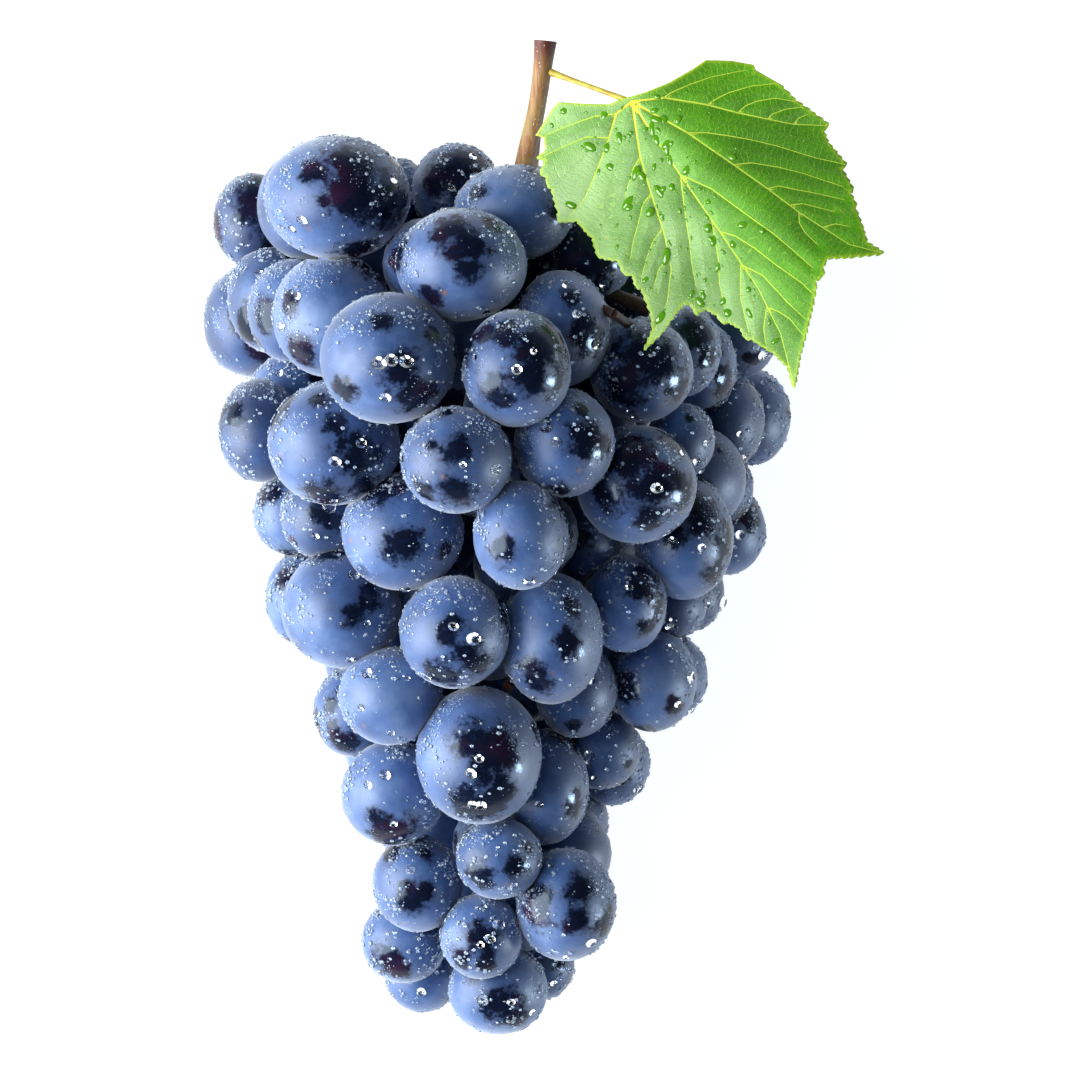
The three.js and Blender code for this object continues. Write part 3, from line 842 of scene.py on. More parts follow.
# Rubbed patches of the nearest berries, by their place in that list. Each is across, up and radius,
# against the berry's own half-size as it is seen from above.
RUBBED: dict[int, list[Row]] = {
    0: [(0.16, -0.17, 0.34), (0.42, -0.58, 0.36), (-0.66, -0.47, 0.24), (-0.1, 0.56, 0.2),
        (0.65, 0.35, 0.16)],
    1: [(0.36, 0.35, 0.5), (-0.6, 0.6, 0.3), (-0.2, 0.6, 0.34), (-0.4, -0.42, 0.42),
        (0.25, -0.2, 0.42), (0.7, 0.45, 0.4), (0.72, -0.25, 0.36)],
    2: [(0.22, 0.0, 0.5), (-0.1, 0.2, 0.36), (0.0, -0.72, 0.5), (0.3, -0.5, 0.35)],
    3: [(-0.15, 0.62, 0.36), (0.1, 0.3, 0.38), (0.12, -0.1, 0.24), (-0.47, -0.57, 0.22), (0.5, 0.7, 0.2)],
    4: [(0.0, 0.17, 0.34), (0.0, -0.62, 0.4), (-0.6, -0.55, 0.28), (-0.45, 0.3, 0.14)],
    5: [(-0.1, 0.0, 0.28), (0.0, 0.25, 0.16), (0.25, -0.4, 0.36), (-0.2, -0.8, 0.4), (0.5, -0.55, 0.28)],
    6: [(0.42, 0.08, 0.45), (-0.1, -0.9, 0.28), (0.35, 0.6, 0.18), (0.76, -0.1, 0.32)],
    7: [(-0.1, 0.45, 0.5), (0.3, -0.05, 0.55), (-0.5, -0.2, 0.34), (0.2, -0.6, 0.3), (0.78, -0.15, 0.4)],
    8: [(0.05, 0.0, 0.46), (-0.5, -0.5, 0.32), (0.15, -0.62, 0.3)],
    9: [(-0.15, -0.3, 0.36), (0.2, -0.15, 0.24), (-0.6, 0.6, 0.28), (0.2, 0.6, 0.22)],
    10: [(0.25, 0.0, 0.5), (0.75, -0.1, 0.5), (0.25, 0.6, 0.38), (-0.3, 0.4, 0.22), (0.3, -0.85, 0.34)],
    11: [(0.4, -0.2, 0.46), (0.05, 0.3, 0.22), (-0.2, 0.7, 0.22), (-0.1, -0.85, 0.4), (0.45, -0.7, 0.3)],
    12: [(-0.3, 0.75, 0.42), (0.0, -0.25, 0.36), (0.7, -0.3, 0.16), (0.5, 0.8, 0.3)],
    13: [(-0.4, -0.25, 0.36)],
    14: [(-0.28, -0.6, 0.36), (0.35, -0.1, 0.28), (0.4, 0.5, 0.2)],
    15: [(-0.5, -0.6, 0.3), (-0.7, 0.2, 0.2)],
    16: [(0.6, -0.2, 0.5), (0.2, 0.5, 0.24)],
    17: [(0.45, 0.2, 0.3), (0.2, -0.1, 0.26)],
    18: [(0.85, 0.05, 0.45), (0.5, 0.8, 0.3), (-0.6, 0.4, 0.2)],
    19: [(0.4, 0.5, 0.5), (0.8, 0.0, 0.35), (0.5, -0.5, 0.25)],
    20: [(0.3, 0.4, 0.5), (0.85, -0.1, 0.4), (0.6, -0.6, 0.3), (-0.2, 0.1, 0.3)],
    21: [],
    23: [(-0.3, 0.3, 0.2), (0.7, -0.3, 0.3)],
    24: [(-0.5, -0.3, 0.5), (0.4, -0.2, 0.35), (0.7, 0.3, 0.2)],
    25: [(-0.4, -0.4, 0.45), (-0.1, -0.7, 0.3), (0.5, 0.4, 0.2)],
    26: [(0.0, -0.3, 0.45), (0.4, -0.6, 0.3), (-0.5, 0.3, 0.2)],
    27: [(0.3, 0.3, 0.35), (0.25, -0.25, 0.3), (-0.6, 0.0, 0.4), (0.8, -0.3, 0.35)],
    28: [(0.1, 0.3, 0.8), (-0.3, -0.3, 0.6), (0.72, -0.3, 0.4)],
    30: [(-0.6, -0.2, 0.35), (0.5, -0.5, 0.25)],
    31: [(0.0, -0.8, 0.5), (-0.3, -0.5, 0.25)],
    35: [(0.3, 0.5, 0.5), (0.6, -0.2, 0.4)],
    36: [(0.2, 0.4, 0.5), (0.6, -0.3, 0.45)],
    45: [(0.2, 0.2, 0.9), (-0.4, 0.2, 0.5)],
    46: [(0.0, 0.0, 1.2)],
    47: [(0.0, 0.0, 1.2)],
    58: [(0.2, 0.4, 0.8), (0.6, -0.2, 0.6)],
}


@dataclass
class BunchPlan:
    """Where every berry lies. The sizes and the rule are the solids' own."""

    shoulder_height: float = 80.0
    tip_height: float = 36.0
    taper_start: float = 14.0
    tip_y: float = -92.0
    top_y: float = 70.0
    axis_x: float = -6.0
    half_width: float = 48.0
    tip_half_width: float = 14.0
    top_rounding: float = 0.6
    shoulder_y: float = 44.0
    rounding: float = 0.4
    squeeze: float = 0.9
    flat_depth: float = 0.7
    facet_swell: float = 1.035
    hidden_radius: float = 11.0
    hidden_least: float = 8.2
    hidden_squeeze: float = 0.85
    settle: float = 6.0
    hidden_length: float = 1.06
    hidden_tries: int = 8000
    hidden_depth: float = 0.86
    hidden_rise: float = 0.12
    cover_points: int = 12
    cover_inset: float = 0.9
    cover_margin: float = 2.0
    core_end: float = 9.0
    seed: int = 41
    inner_seed: int = 58
    inner_radius: float = 8.6
    inner_squeeze: float = 0.74
    inner_depth: float = 0.9
    inner_low: float = 14.0
    inner_high: float = 4.0
    inner_tries: int = 4000

    def taper(self, y: float) -> float:
        """How far down the taper a place is, from 0 to 1."""
        return min(1.0, max(0.0, (self.taper_start - y) / (self.taper_start - self.tip_y)))

    def width_at(self, y: float) -> float:
        """Half the bunch's width, to the outermost centres."""
        return lerp(self.half_width, self.tip_half_width, self.taper(y))

    def crown_at(self, y: float) -> float:
        """Height of the topmost centres on the axis."""
        drop = self.top_rounding * max(0.0, y - self.shoulder_y)
        return lerp(self.shoulder_height, self.tip_height, self.taper(y)) - drop

    def middle_at(self, y: float) -> float:
        """Height of the axis."""
        return (self.crown_at(y) + self.hidden_radius) / 2

    def face_at(self, x: float, y: float) -> float:
        """Works out how high the topmost centres are over a place.

        Args:
            x: The place across.
            y: The place along.

        Returns:
            The height in millimetres.
        """
        across = min(1.0, abs(x - self.axis_x) / self.width_at(y))
        rise = self.crown_at(y) - self.middle_at(y)
        return self.middle_at(y) + rise * (1 - across * across) ** self.rounding

    def under(self, berry: Berry, other: Berry) -> float:
        """Works out where a berry rests against another's underside.

        Args:
            berry: The lower berry.
            other: The upper one.

        Returns:
            The height of its centre, without limit where they don't meet.
        """
        apart = math.hypot(berry.x - other.x, berry.y - other.y)
        reach = self.squeeze * (berry.radius + other.radius)
        return math.inf if apart >= reach else other.z - math.sqrt(reach * reach - apart * apart)

    def shown(self) -> list[Berry]:
        """Places the berries that face up, each under those traced before it.

        Returns:
            The berries.
        """
        placed: list[Berry] = []
        for number, (x, y, a, b) in enumerate(FACE_BERRIES):
            berry = Berry(x, y, 0.0, a, b, (a + b) / 2, RUBBED.get(number))
            height = min([self.face_at(x, y), *(self.under(berry, other) for other in placed)])
            berry.z = max(berry.c - self.flat_depth, height)
            placed.append(berry)
        return placed

    def fits(self, berry: Berry, placed: list[Berry]) -> bool:
        """Tells whether a berry has room among the others.

        Args:
            berry: The berry.
            placed: The others.

        Returns:
            True if it presses into none of them too far.
        """
        return all(
            math.dist(berry.centre, other.centre) >= self.hidden_squeeze * (berry.radius + other.radius)
            for other in placed
        )

    def covered(self, berry: Berry, shown: list[Berry]) -> bool:
        """Tells whether a berry stays behind the ones that face up.

        Args:
            berry: The berry.
            shown: The ones that face up.

        Returns:
            True if its middle is under one and its outline within theirs.
        """
        if not any(berry.z < over.z and over.within(berry.x, berry.y, 0.0) for over in shown):
            return False
        for number in range(self.cover_points):
            turn = 2 * math.pi * number / self.cover_points
            x = berry.x + self.cover_inset * berry.a * math.cos(turn)
            y = berry.y + self.cover_inset * berry.b * math.sin(turn)
            if not any(over.within(x, y, self.cover_margin) for over in shown):
                return False
        return True

    def hidden(self, shown: list[Berry]) -> list[Berry]:
        """Returns the berries round the back and up the sides.

        Args:
            shown: The berries that face up.

        Returns:
            The others.
        """
        draw = SeededRandom(self.seed)
        placed = list(shown)
        for attempt in range(self.hidden_tries):
            radius = lerp(self.hidden_radius, self.hidden_least, attempt / self.hidden_tries)
            y = lerp(self.tip_y + self.core_end, self.top_y, draw())
            turn = -math.pi * lerp(-self.hidden_rise, 1 + self.hidden_rise, draw())
            depth = lerp(self.hidden_depth, 1.0, draw())
            x = self.axis_x + depth * self.width_at(y) * math.cos(turn)
            level = self.middle_at(y) + depth * (self.crown_at(y) - self.middle_at(y)) * math.sin(turn)
            lying = radius - self.flat_depth
            z = lying if level < lying + self.settle else level
            berry = Berry(x, y, z, radius, radius * self.hidden_length, radius, shown=False)
            if self.covered(berry, shown) and self.fits(berry, placed):
                placed.append(berry)
        return placed[len(shown):]

    def inner(self, others: list[Berry]) -> list[Berry]:
        """Returns the berries deep inside, which close the gaps.

        Args:
            others: The berries that face up, and those round the back.

        Returns:
            The inner ones.
        """
        draw = SeededRandom(self.inner_seed)
        placed = list(others)
        radius = self.inner_radius
        squeeze = self.inner_squeeze / self.hidden_squeeze
        for _ in range(self.inner_tries):
            y = lerp(self.tip_y + self.inner_low, self.top_y - self.inner_high, draw())
            turn = 2 * math.pi * draw()
            depth = self.inner_depth * math.sqrt(draw())
            x = self.axis_x + depth * self.width_at(y) * math.cos(turn)
            z = self.middle_at(y) + depth * (self.crown_at(y) - self.middle_at(y)) * math.sin(turn)
            small = Berry(x, y, z, radius * squeeze, radius * squeeze, radius * squeeze)
            if self.covered(small, others) and self.fits(small, placed):
                placed.append(Berry(x, y, z, radius, radius * self.hidden_length, radius, shown=False))
        return placed[len(others):]


# The berries


class Tier(Enum):
    """Parts of the bunch, each one piece."""

    LEFT_SHOULDER = "berries_left_shoulder"
    CROWN = "berries_crown"
    RIGHT_SHOULDER = "berries_right_shoulder"
    LEFT_SIDE = "berries_left_side"
    MIDDLE = "berries_middle"
    RIGHT_SIDE = "berries_right_side"
    TIP = "berries_tip"
    BACK = "berries_back"
    INSIDE = "berries_inside"


@dataclass
class Berries:
    """All the berries, pressed together where they touch."""

    plan: BunchPlan
    shift: np.ndarray
    dew: Dew = Dew()
    fineness: int = 5
    back_fineness: int = 4
    inner_fineness: int = 3
    lumps: float = 0.018
    press_gap: float = 0.06
    press_reach: float = 2.0
    scar_depth: float = 0.16
    scar_radius: float = 0.058
    scar_stain: float = 0.62
    scar_drop: float = 14.0
    scar_lean: Row = (0.5, 0.6, 0.0)
    scar_spread: Row = (1.0, 1.0, 0.5)
    scar_stray: float = 0.9
    random_patches: int = 4
    least_front: float = 0.02
    patch_reach: float = 0.8
    patch_sizes: Place = (0.12, 0.42)
    lower_patches: tuple[float, ...] = (-0.7, 0.05, -0.15, -0.2)
    lower_sizes: Place = (0.14, 0.5)
    tones: Place = (0.35, 0.85)
    lump_scale: float = 1.4
    lump_step: Place = (3.7, 1.3)
    seed_step: int = 7919
    seed_start: int = 13
    inner_seed: int = 200
    shoulder_low: float = 26.0
    tip_high: float = -52.0
    side_left: float = -34.0
    side_right: float = 10.0
    shown: list[Berry] = field(default_factory=list)
    hidden: list[Berry] = field(default_factory=list)

    def template(self, fineness: int) -> bpy.types.Object:
        """Models one berry of half-size 1, before its own sizes and lumps.

        Args:
            fineness: Subdivisions of the sphere.

        Returns:
            The object.
        """
        bpy.ops.object.select_all(action="DESELECT")
        bpy.ops.mesh.primitive_ico_sphere_add(subdivisions=fineness, radius=1.0)
        obj = made("berry_template")
        smooth(obj)
        return obj

    def tier(self, berry: Berry) -> Tier:
        """Tells which part of the bunch a berry is in.

        Args:
            berry: The berry.

        Returns:
            The part.
        """
        if not berry.shown:
            return Tier.BACK
        if berry.y < self.tip_high:
            return Tier.TIP
        if berry.y > self.shoulder_low:
            names = (Tier.LEFT_SHOULDER, Tier.CROWN, Tier.RIGHT_SHOULDER)
        else:
            names = (Tier.LEFT_SIDE, Tier.MIDDLE, Tier.RIGHT_SIDE)
        return names[(berry.x > self.side_left) + (berry.x > self.side_right)]

    def pressed(self, berry: Berry, rows: np.ndarray, others: list[Berry]) -> np.ndarray:
        """Flattens a berry where a neighbour presses on it, and where it lies on the surface.

        Args:
            berry: The berry.
            rows: Its vertices.
            others: All the berries.

        Returns:
            The moved vertices.
        """
        for other in others:
            away = other.centre - berry.centre
            apart = float(np.linalg.norm(away))
            if other is berry or apart >= berry.radius + other.radius + self.press_reach:
                continue
            away /= apart
            share = (apart * apart + berry.radius ** 2 - other.radius ** 2) / (2 * apart)
            over = (rows - berry.centre) @ away - (share - self.press_gap)
            rows = rows - np.outer(np.maximum(over, 0.0), away)
        rows[:, 2] = np.maximum(rows[:, 2], 0.0)
        return rows

    def patches(self, berry: Berry, draw: SeededRandom) -> list[Row]:
        """Lists where a berry's bloom is rubbed off: as traced, or else drawn.

        Args:
            berry: The berry.
            draw: The random draw.

        Returns:
            Rows of the way across, the way up and the size.
        """
        if berry.patches is not None:
            return berry.patches
        count = 1 + int(draw() * self.random_patches)
        reach = self.patch_reach
        return [
            (lerp(-reach, reach, draw()), lerp(-reach, reach, draw()), lerp(*self.patch_sizes, draw()))
            for _ in range(count)
        ]

    def rub_field(self, berry: Berry, away: np.ndarray, draw: SeededRandom) -> np.ndarray:
        """Returns how deep in a rubbed patch each vertex is.

        Args:
            berry: The berry.
            away: Unit rows from its centre.
            draw: The random draw.

        Returns:
            1 in the middle of a patch, 0 at its edge, less outside.
        """
        rub = np.full(len(away), -1.0)
        for across, up, radius in self.patches(berry, draw):
            front = math.sqrt(max(self.least_front, 1 - across * across - up * up))
            middle = unit(np.array((across, up, front)))
            rub = np.maximum(rub, 1 - angles(away, middle) / radius)
        for height in self.lower_patches:
            middle = unit(np.array((draw() - 0.5, draw() - 0.5, height)))
            rub = np.maximum(rub, 1 - angles(away, middle) / lerp(*self.lower_sizes, draw()))
        return rub

    def scar_way(self, berry: Berry, draw: SeededRandom) -> np.ndarray:
        """Works out the way to a berry's blossom end, out from the stalk and down.

        Args:
            berry: The berry.
            draw: The random draw.

        Returns:
            The way as a unit row.
        """
        hung = np.array((self.plan.axis_x, berry.y + self.scar_drop, self.plan.middle_at(berry.y)))
        drawn = np.array((draw(), draw(), draw()))
        stray = (drawn * self.scar_spread - self.scar_lean) * self.scar_stray
        return unit(unit(berry.centre - hung) + stray)

    def build_berry(self, berry: Berry, template: bpy.types.Object, seed: int) -> bpy.types.Object:
        """Makes one berry from the template.

        Args:
            berry: The berry.
            template: The sphere to copy.
            seed: Its random seed.

        Returns:
            The object, with its attributes.
        """
        draw = SeededRandom(seed * self.seed_step + self.seed_start)
        obj = template.copy()
        obj.data = template.data.copy()
        bpy.context.collection.objects.link(obj)
        away = unit(vertices_of(obj.data))
        offset = Vector((seed * self.lump_step[0], seed * self.lump_step[1], 0.0))
        swell = np.array([noise.noise(Vector(row) * self.lump_scale + offset) for row in away])
        scar = angles(away, self.scar_way(berry, draw)) / self.scar_radius
        rows = away * berry.sizes * (1 + self.lumps * swell[:, None])
        rows -= away * (self.scar_depth * np.exp(-scar * scar))[:, None]
        rows = self.pressed(berry, rows + berry.centre, [*self.shown, *self.hidden])
        put_vertices(obj.data, (rows + self.shift) * MM)
        put_attribute(obj.data, "rub", self.rub_field(berry, away, draw))
        put_attribute(obj.data, "wet", self.dew.wetness(away, seed))
        put_attribute(obj.data, "scar", np.exp(-((scar / self.scar_stain) ** 4)))
        put_attribute(obj.data, "tone", np.full(len(away), lerp(*self.tones, draw())))
        return obj

    def build(self, finish: BerrySkin) -> None:
        """Makes every berry, joined in one piece for each part of the bunch.

        Args:
            finish: The berries' skin.
        """
        self.shown = self.plan.shown()
        self.hidden = self.plan.hidden(self.shown)
        material = finish.material()
        fine = self.template(self.fineness)
        coarse = self.template(self.back_fineness)
        plain = self.template(self.inner_fineness)
        pieces: dict[Tier, list[bpy.types.Object]] = {tier: [] for tier in Tier}
        for seed, berry in enumerate([*self.shown, *self.hidden]):
            template = fine if berry.shown else coarse
            pieces[self.tier(berry)].append(self.build_berry(berry, template, seed))
        inner = self.plan.inner([*self.shown, *self.hidden])
        LOG.info("%d berries up, %d behind, %d inside", len(self.shown), len(self.hidden), len(inner))
        for seed, berry in enumerate(inner):
            pieces[Tier.INSIDE].append(self.build_berry(berry, plain, seed + self.inner_seed))
        for tier, parts in pieces.items():
            dress(joined(tier.value, parts), material, "berry_skin", "berries")
        for template in (fine, coarse, plain):
            bpy.data.objects.remove(template)


# Water on the berries


@dataclass
class Beads:
    """Beads and drops of water on what faces up."""

    berries: Berries
    seed: int = 5
    tries: int = 3600
    least: float = 0.12
    most: float = 0.5
    fine: float = 0.3
    flatness: float = 0.72
    drops: int = 5
    drop_least: float = 0.7
    drop_most: float = 1.35
    sink: float = 0.12
    clear_share: float = 1.04
    speck_faces: tuple[int, int] = (4, 2)
    bead_faces: tuple[int, int] = (5, 4)
    drop_faces: tuple[int, int] = (12, 8)
    skew: float = 2.8
    stretch: float = 0.35
    cut: float = 0.03
    drop_lean: Row = (0.1, 0.0, 0.7)
    drop_lowest: float = 0.1
    drop_skew: float = 2.0
    across_way: Row = (0.31, 0.83, 0.46)

    def dome(self, segments: int, rings: int, name: str) -> tuple[np.ndarray, list]:
        """Models one bead of half-width 1: the upper half of a sphere, closed below.

        Args:
            segments: Its sides.
            rings: The sphere's rings.
            name: The mesh's name.

        Returns:
            Its vertices and faces.
        """
        bpy.ops.object.select_all(action="DESELECT")
        bpy.ops.mesh.primitive_uv_sphere_add(segments=segments, ring_count=rings, radius=1.0)
        obj = made(name)
        bpy.ops.object.mode_set(mode="EDIT")
        bpy.ops.mesh.select_all(action="SELECT")
        bpy.ops.mesh.bisect(plane_co=(0, 0, self.cut), plane_no=(0, 0, 1), use_fill=True, clear_inner=True)
        bpy.ops.mesh.select_all(action="SELECT")
        bpy.ops.transform.resize(value=(1, 1, self.flatness))
        bpy.ops.object.mode_set(mode="OBJECT")
        rows = vertices_of(obj.data)
        faces = [list(face.vertices) for face in obj.data.polygons]
        bpy.data.objects.remove(obj)
        return rows, faces

    def places(self, rng: np.random.Generator) -> tuple[list, list]:
        """Draws the beads and drops of every berry that faces up.

        Args:
            rng: The random draw.

        Returns:
            Rows of berry, way and size, for the beads and for the drops.
        """
        beads, drops = [], []
        for seed, berry in enumerate(self.berries.shown):
            ways = unit(rng.normal(size=(self.tries, 3)))
            sizes = self.least + (self.most - self.least) * rng.random(self.tries) ** self.skew
            wet = rng.random(self.tries) < self.berries.dew.wetness(ways, seed)
            beads += [(berry, way, size) for way, size in zip(ways[wet], sizes[wet])]
            for way in unit(rng.normal(size=(self.drops, 3)) + np.array(self.drop_lean)):
                size = lerp(self.drop_least, self.drop_most, rng.random() ** self.drop_skew)
                if way[2] > self.drop_lowest:
                    drops.append((berry, way, size))
        return beads, drops

    def bare(self, places: list) -> list:
        """Leaves out the places that are inside, or pressed by, another berry.

        Args:
            places: Rows of berry, way and size.

        Returns:
            The rest.
        """
        points = np.array([berry.centre + way * berry.sizes for berry, way, _ in places])
        owners = np.array([id(berry) for berry, _, _ in places])
        free = np.ones(len(places), dtype=bool)
        for other in [*self.berries.shown, *self.berries.hidden]:
            inside = np.linalg.norm((points - other.centre) / other.sizes, axis=1) < self.clear_share
            free &= ~(inside & (owners != id(other)))
        return [place for place, kept in zip(places, free) if kept]

    def spread(self, name: str, places: list, dome: tuple, rng: np.random.Generator) -> bpy.types.Object:
        """Sets copies of a dome on the berries, all in one mesh.

        Args:
            name: The piece's name.
            places: Rows of berry, way and size.
            dome: A bead's vertices and faces.
            rng: The random draw.

        Returns:
            The piece.
        """
        laid = []
        for berry, way, size in self.bare(places):
            point = berry.centre + way * berry.sizes
            out = unit(way / berry.sizes)
            first = unit(np.cross(out, self.across_way))
            second = np.cross(out, first)
            long = 1 + self.stretch * rng.random()
            frame = np.stack((first * long, second, out)) * size
            laid.append((point - out * self.sink * size, frame))
        return copies(name, dome, laid, self.berries.shift)

    def build(self, bead_finish: bpy.types.Material, drop_finish: bpy.types.Material) -> None:
        """Makes the beads, the finest of them with the fewest faces, and the drops.

        Args:
            bead_finish: The beads' water, pale and partly opaque as a painted glint.
            drop_finish: The drops' water.
        """
        rng = np.random.default_rng(self.seed)
        beads, drops = self.places(rng)
        finest = [place for place in beads if place[2] < self.fine]
        larger = [place for place in beads if place[2] >= self.fine]
        half = len(finest) // 2
        tiny = self.dome(*self.speck_faces, "speck")
        small = self.dome(*self.bead_faces, "bead")
        large = self.dome(*self.drop_faces, "drop")
        for name, places, dome, finish in (
            ("water_specks_upper", finest[:half], tiny, bead_finish),
            ("water_specks_lower", finest[half:], tiny, bead_finish),
            ("water_beads", larger, small, bead_finish),
            ("water_drops", drops, large, drop_finish),
        ):
            dress(self.spread(name, places, dome, rng), finish, "berry_skin")


# The stalk


@dataclass
class Stalk:
    """The cut stalk, its side branches and the berries' own short stalks."""

    shift: np.ndarray
    route: list[Row] = field(default_factory=lambda: [
        (1.1, 99.5, 60, 2.3), (0.8, 96.5, 60, 1.9), (-0.2, 87.7, 59, 1.7), (-1.7, 81.5, 57.5, 1.8),
        (-2.8, 74, 54.5, 2.6), (-5, 60, 48, 2.5), (-6, 40, 45, 2.3), (-6, 15, 42, 2.1),
        (-6, -15, 35, 1.9), (-7, -45, 28, 1.6), (-8, -68, 22, 1.2),
    ])
    laterals: list[Row] = field(default_factory=lambda: [
        (-5, 60, 48, -26, 54, 54), (-5.2, 57, 47.5, 22, 46, 52), (-6, 40, 45, -34, 34, 50),
        (-6, 34, 44, 10, 30, 56), (-6, 22, 43, -30, 8, 44), (-6, 15, 42, 18, 4, 42),
        (-6, -10, 36, 8, -22, 40), (-6, -14, 35, -26, -24, 36), (-7, -36, 30, -16, -50, 34),
    ])
    pedicels: list[Row] = field(default_factory=lambda: [
        (5, 49, 62, 14.5, 45, 69), (14.5, 45, 69, 19, 42, 60), (-2, -20, 44, -6.5, -29.5, 57),
        (-7, -45, 28, -11, -57.5, 42), (-26, 54, 54, -26, 61, 52), (-24, 58, 52, -30, 60, 60),
    ])
    lateral_radius: float = 1.2
    pedicel_radius: float = 0.8
    twig_bow: float = 0.06
    swelling: Row = (1.25, 1.0, 1.35)
    sides: int = 5
    steps: int = 10
    order: int = 4
    last_in_sight: int = 4
    shade_depth: float = 8.0

    def rod(self, name: str, points: list[Row]) -> bpy.types.Object:
        """Makes a rod along points, each x, y, z and half-thickness.

        Args:
            name: The curve's name.
            points: The points in millimetres.

        Returns:
            The rod as a mesh.
        """
        curve = bpy.data.curves.new(name, "CURVE")
        curve.dimensions = "3D"
        curve.bevel_depth = MM
        curve.bevel_resolution = self.sides
        curve.use_fill_caps = True
        curve.resolution_u = curve.render_resolution_u = self.steps
        spline = curve.splines.new("NURBS")
        spline.points.add(len(points) - 1)
        spline.use_endpoint_u = True
        spline.order_u = min(self.order, len(points))
        for target, (x, y, z, radius) in zip(spline.points, points):
            target.co = (*((np.array((x, y, z)) + self.shift) * MM), 1.0)
            target.radius = radius
        obj = bpy.data.objects.new(name, curve)
        bpy.context.collection.objects.link(obj)
        alone(obj)
        bpy.ops.object.convert(target="MESH")
        return made(name)

    def twig(self, row: Row, radius: float) -> bpy.types.Object:
        """Makes one side branch or short stalk.

        Args:
            row: Its start and its end.
            radius: Half its thickness.

        Returns:
            The twig as a mesh.
        """
        start, end = np.array(row[:3]), np.array(row[3:])
        middle = (start + end) / 2 + np.array((0.0, 0.0, self.twig_bow * np.linalg.norm(end - start)))
        points = zip((start, middle, end), self.swelling)
        return self.rod("twig", [(*point, radius * swollen) for point, swollen in points])

    def build(self, finish: Bark) -> None:
        """Makes the stalk in one piece.

        Args:
            finish: The bark.
        """
        parts = [self.rod("stalk", self.route)]
        parts += [self.twig(row, self.lateral_radius) for row in self.laterals]
        parts += [self.twig(row, self.pedicel_radius) for row in self.pedicels]
        obj = joined("grape_stalk", parts)
        rows = vertices_of(obj.data) / MM - self.shift
        top, low = self.route[0][1], self.route[self.last_in_sight][1]
        put_attribute(obj.data, "age", np.clip((rows[:, 1] - low) / (top - low), 0, 1) ** 2)
        # Painted shade: deep rises from 0 at the last point in sight to 1 a shade_depth further in among the
        # berries.
        put_attribute(obj.data, "deep", np.clip((low - rows[:, 1]) / self.shade_depth, 0, 1))
        smooth(obj)
        dress(obj, finish.material(), "stalk", "stalk")


# The leaf

LEAF_EDGE: list[Place] = [
    (19, 88.4), (21, 89), (25.6, 90.9), (30.4, 93.7), (33, 95.5), (38, 95.4), (42.5, 94.6), (43, 93.5),
    (47.2, 91.1), (50.9, 87.5), (57.6, 82.7), (56.4, 81.5), (57.4, 79.1), (61.1, 74.7), (60, 73.9),
    (62.4, 69.8), (61.8, 69), (63, 66.5), (62.8, 65.9), (64.6, 60.7), (65, 59.2), (68.4, 57),
    (63.2, 56.4), (57.1, 55.9), (56.2, 54.3), (56.3, 52.5), (54.8, 51.4), (54.4, 48.1), (53.4, 43.7),
    (51.7, 36.9), (50.4, 30.1), (49.2, 34.4), (46.4, 37.1), (42.2, 39.8), (40.9, 39.9), (39.8, 42),
    (37.6, 43.2), (36.2, 43), (35.2, 44.6), (33.1, 45.8), (31.7, 45.3), (31.2, 44.5), (30, 46.7),
    (28.8, 46.9), (26.9, 44.9), (24.4, 41.3), (20.6, 37.7), (22.4, 41.7), (22, 45.1), (20.2, 49.7),
    (19.1, 50.1), (18.4, 52.4), (16.6, 52.8), (15.4, 55.4), (11.5, 56.2), (10.4, 60), (8.6, 61.8),
    (7.4, 63.5), (3.5, 63.2), (3.6, 65.1), (2.3, 69.7), (1.4, 70.4), (1.3, 72), (0, 72.9), (1, 75.5),
    (-0.7, 76.1), (1, 77.5), (0.8, 80), (-0.9, 80.5), (0.7, 83), (2.4, 85.8), (3.8, 87.1), (9.2, 86.7),
    (13.8, 86.6), (15.6, 87.5),
]
MAIN_VEINS: list[list[Place]] = [
    [(18.2, 87.1), (24.6, 87.9), (33.1, 86.5), (39.3, 84.9), (45.2, 83.7), (50.4, 82.7), (57, 82.5)],
    [(18.2, 87.1), (26, 82.7), (29.3, 80.8), (38.4, 74.5), (45.2, 69.7), (51.6, 64.9),
     (61.4, 58.7), (68.2, 57)],
    [(18.2, 87.1), (23.6, 78.7), (27.8, 72.5), (35.6, 61.3), (43.2, 50.1), (47.8, 40.9), (50.2, 31.5)],
    [(18.2, 87.1), (19.8, 76.3), (22, 68.9), (24.6, 60.7), (26, 53.9), (25.2, 47), (21.4, 39)],
    [(18.2, 87.1), (15.1, 84.7), (13.6, 79.6), (11.2, 73.3), (8.8, 67.9), (5.9, 64.5)],
]
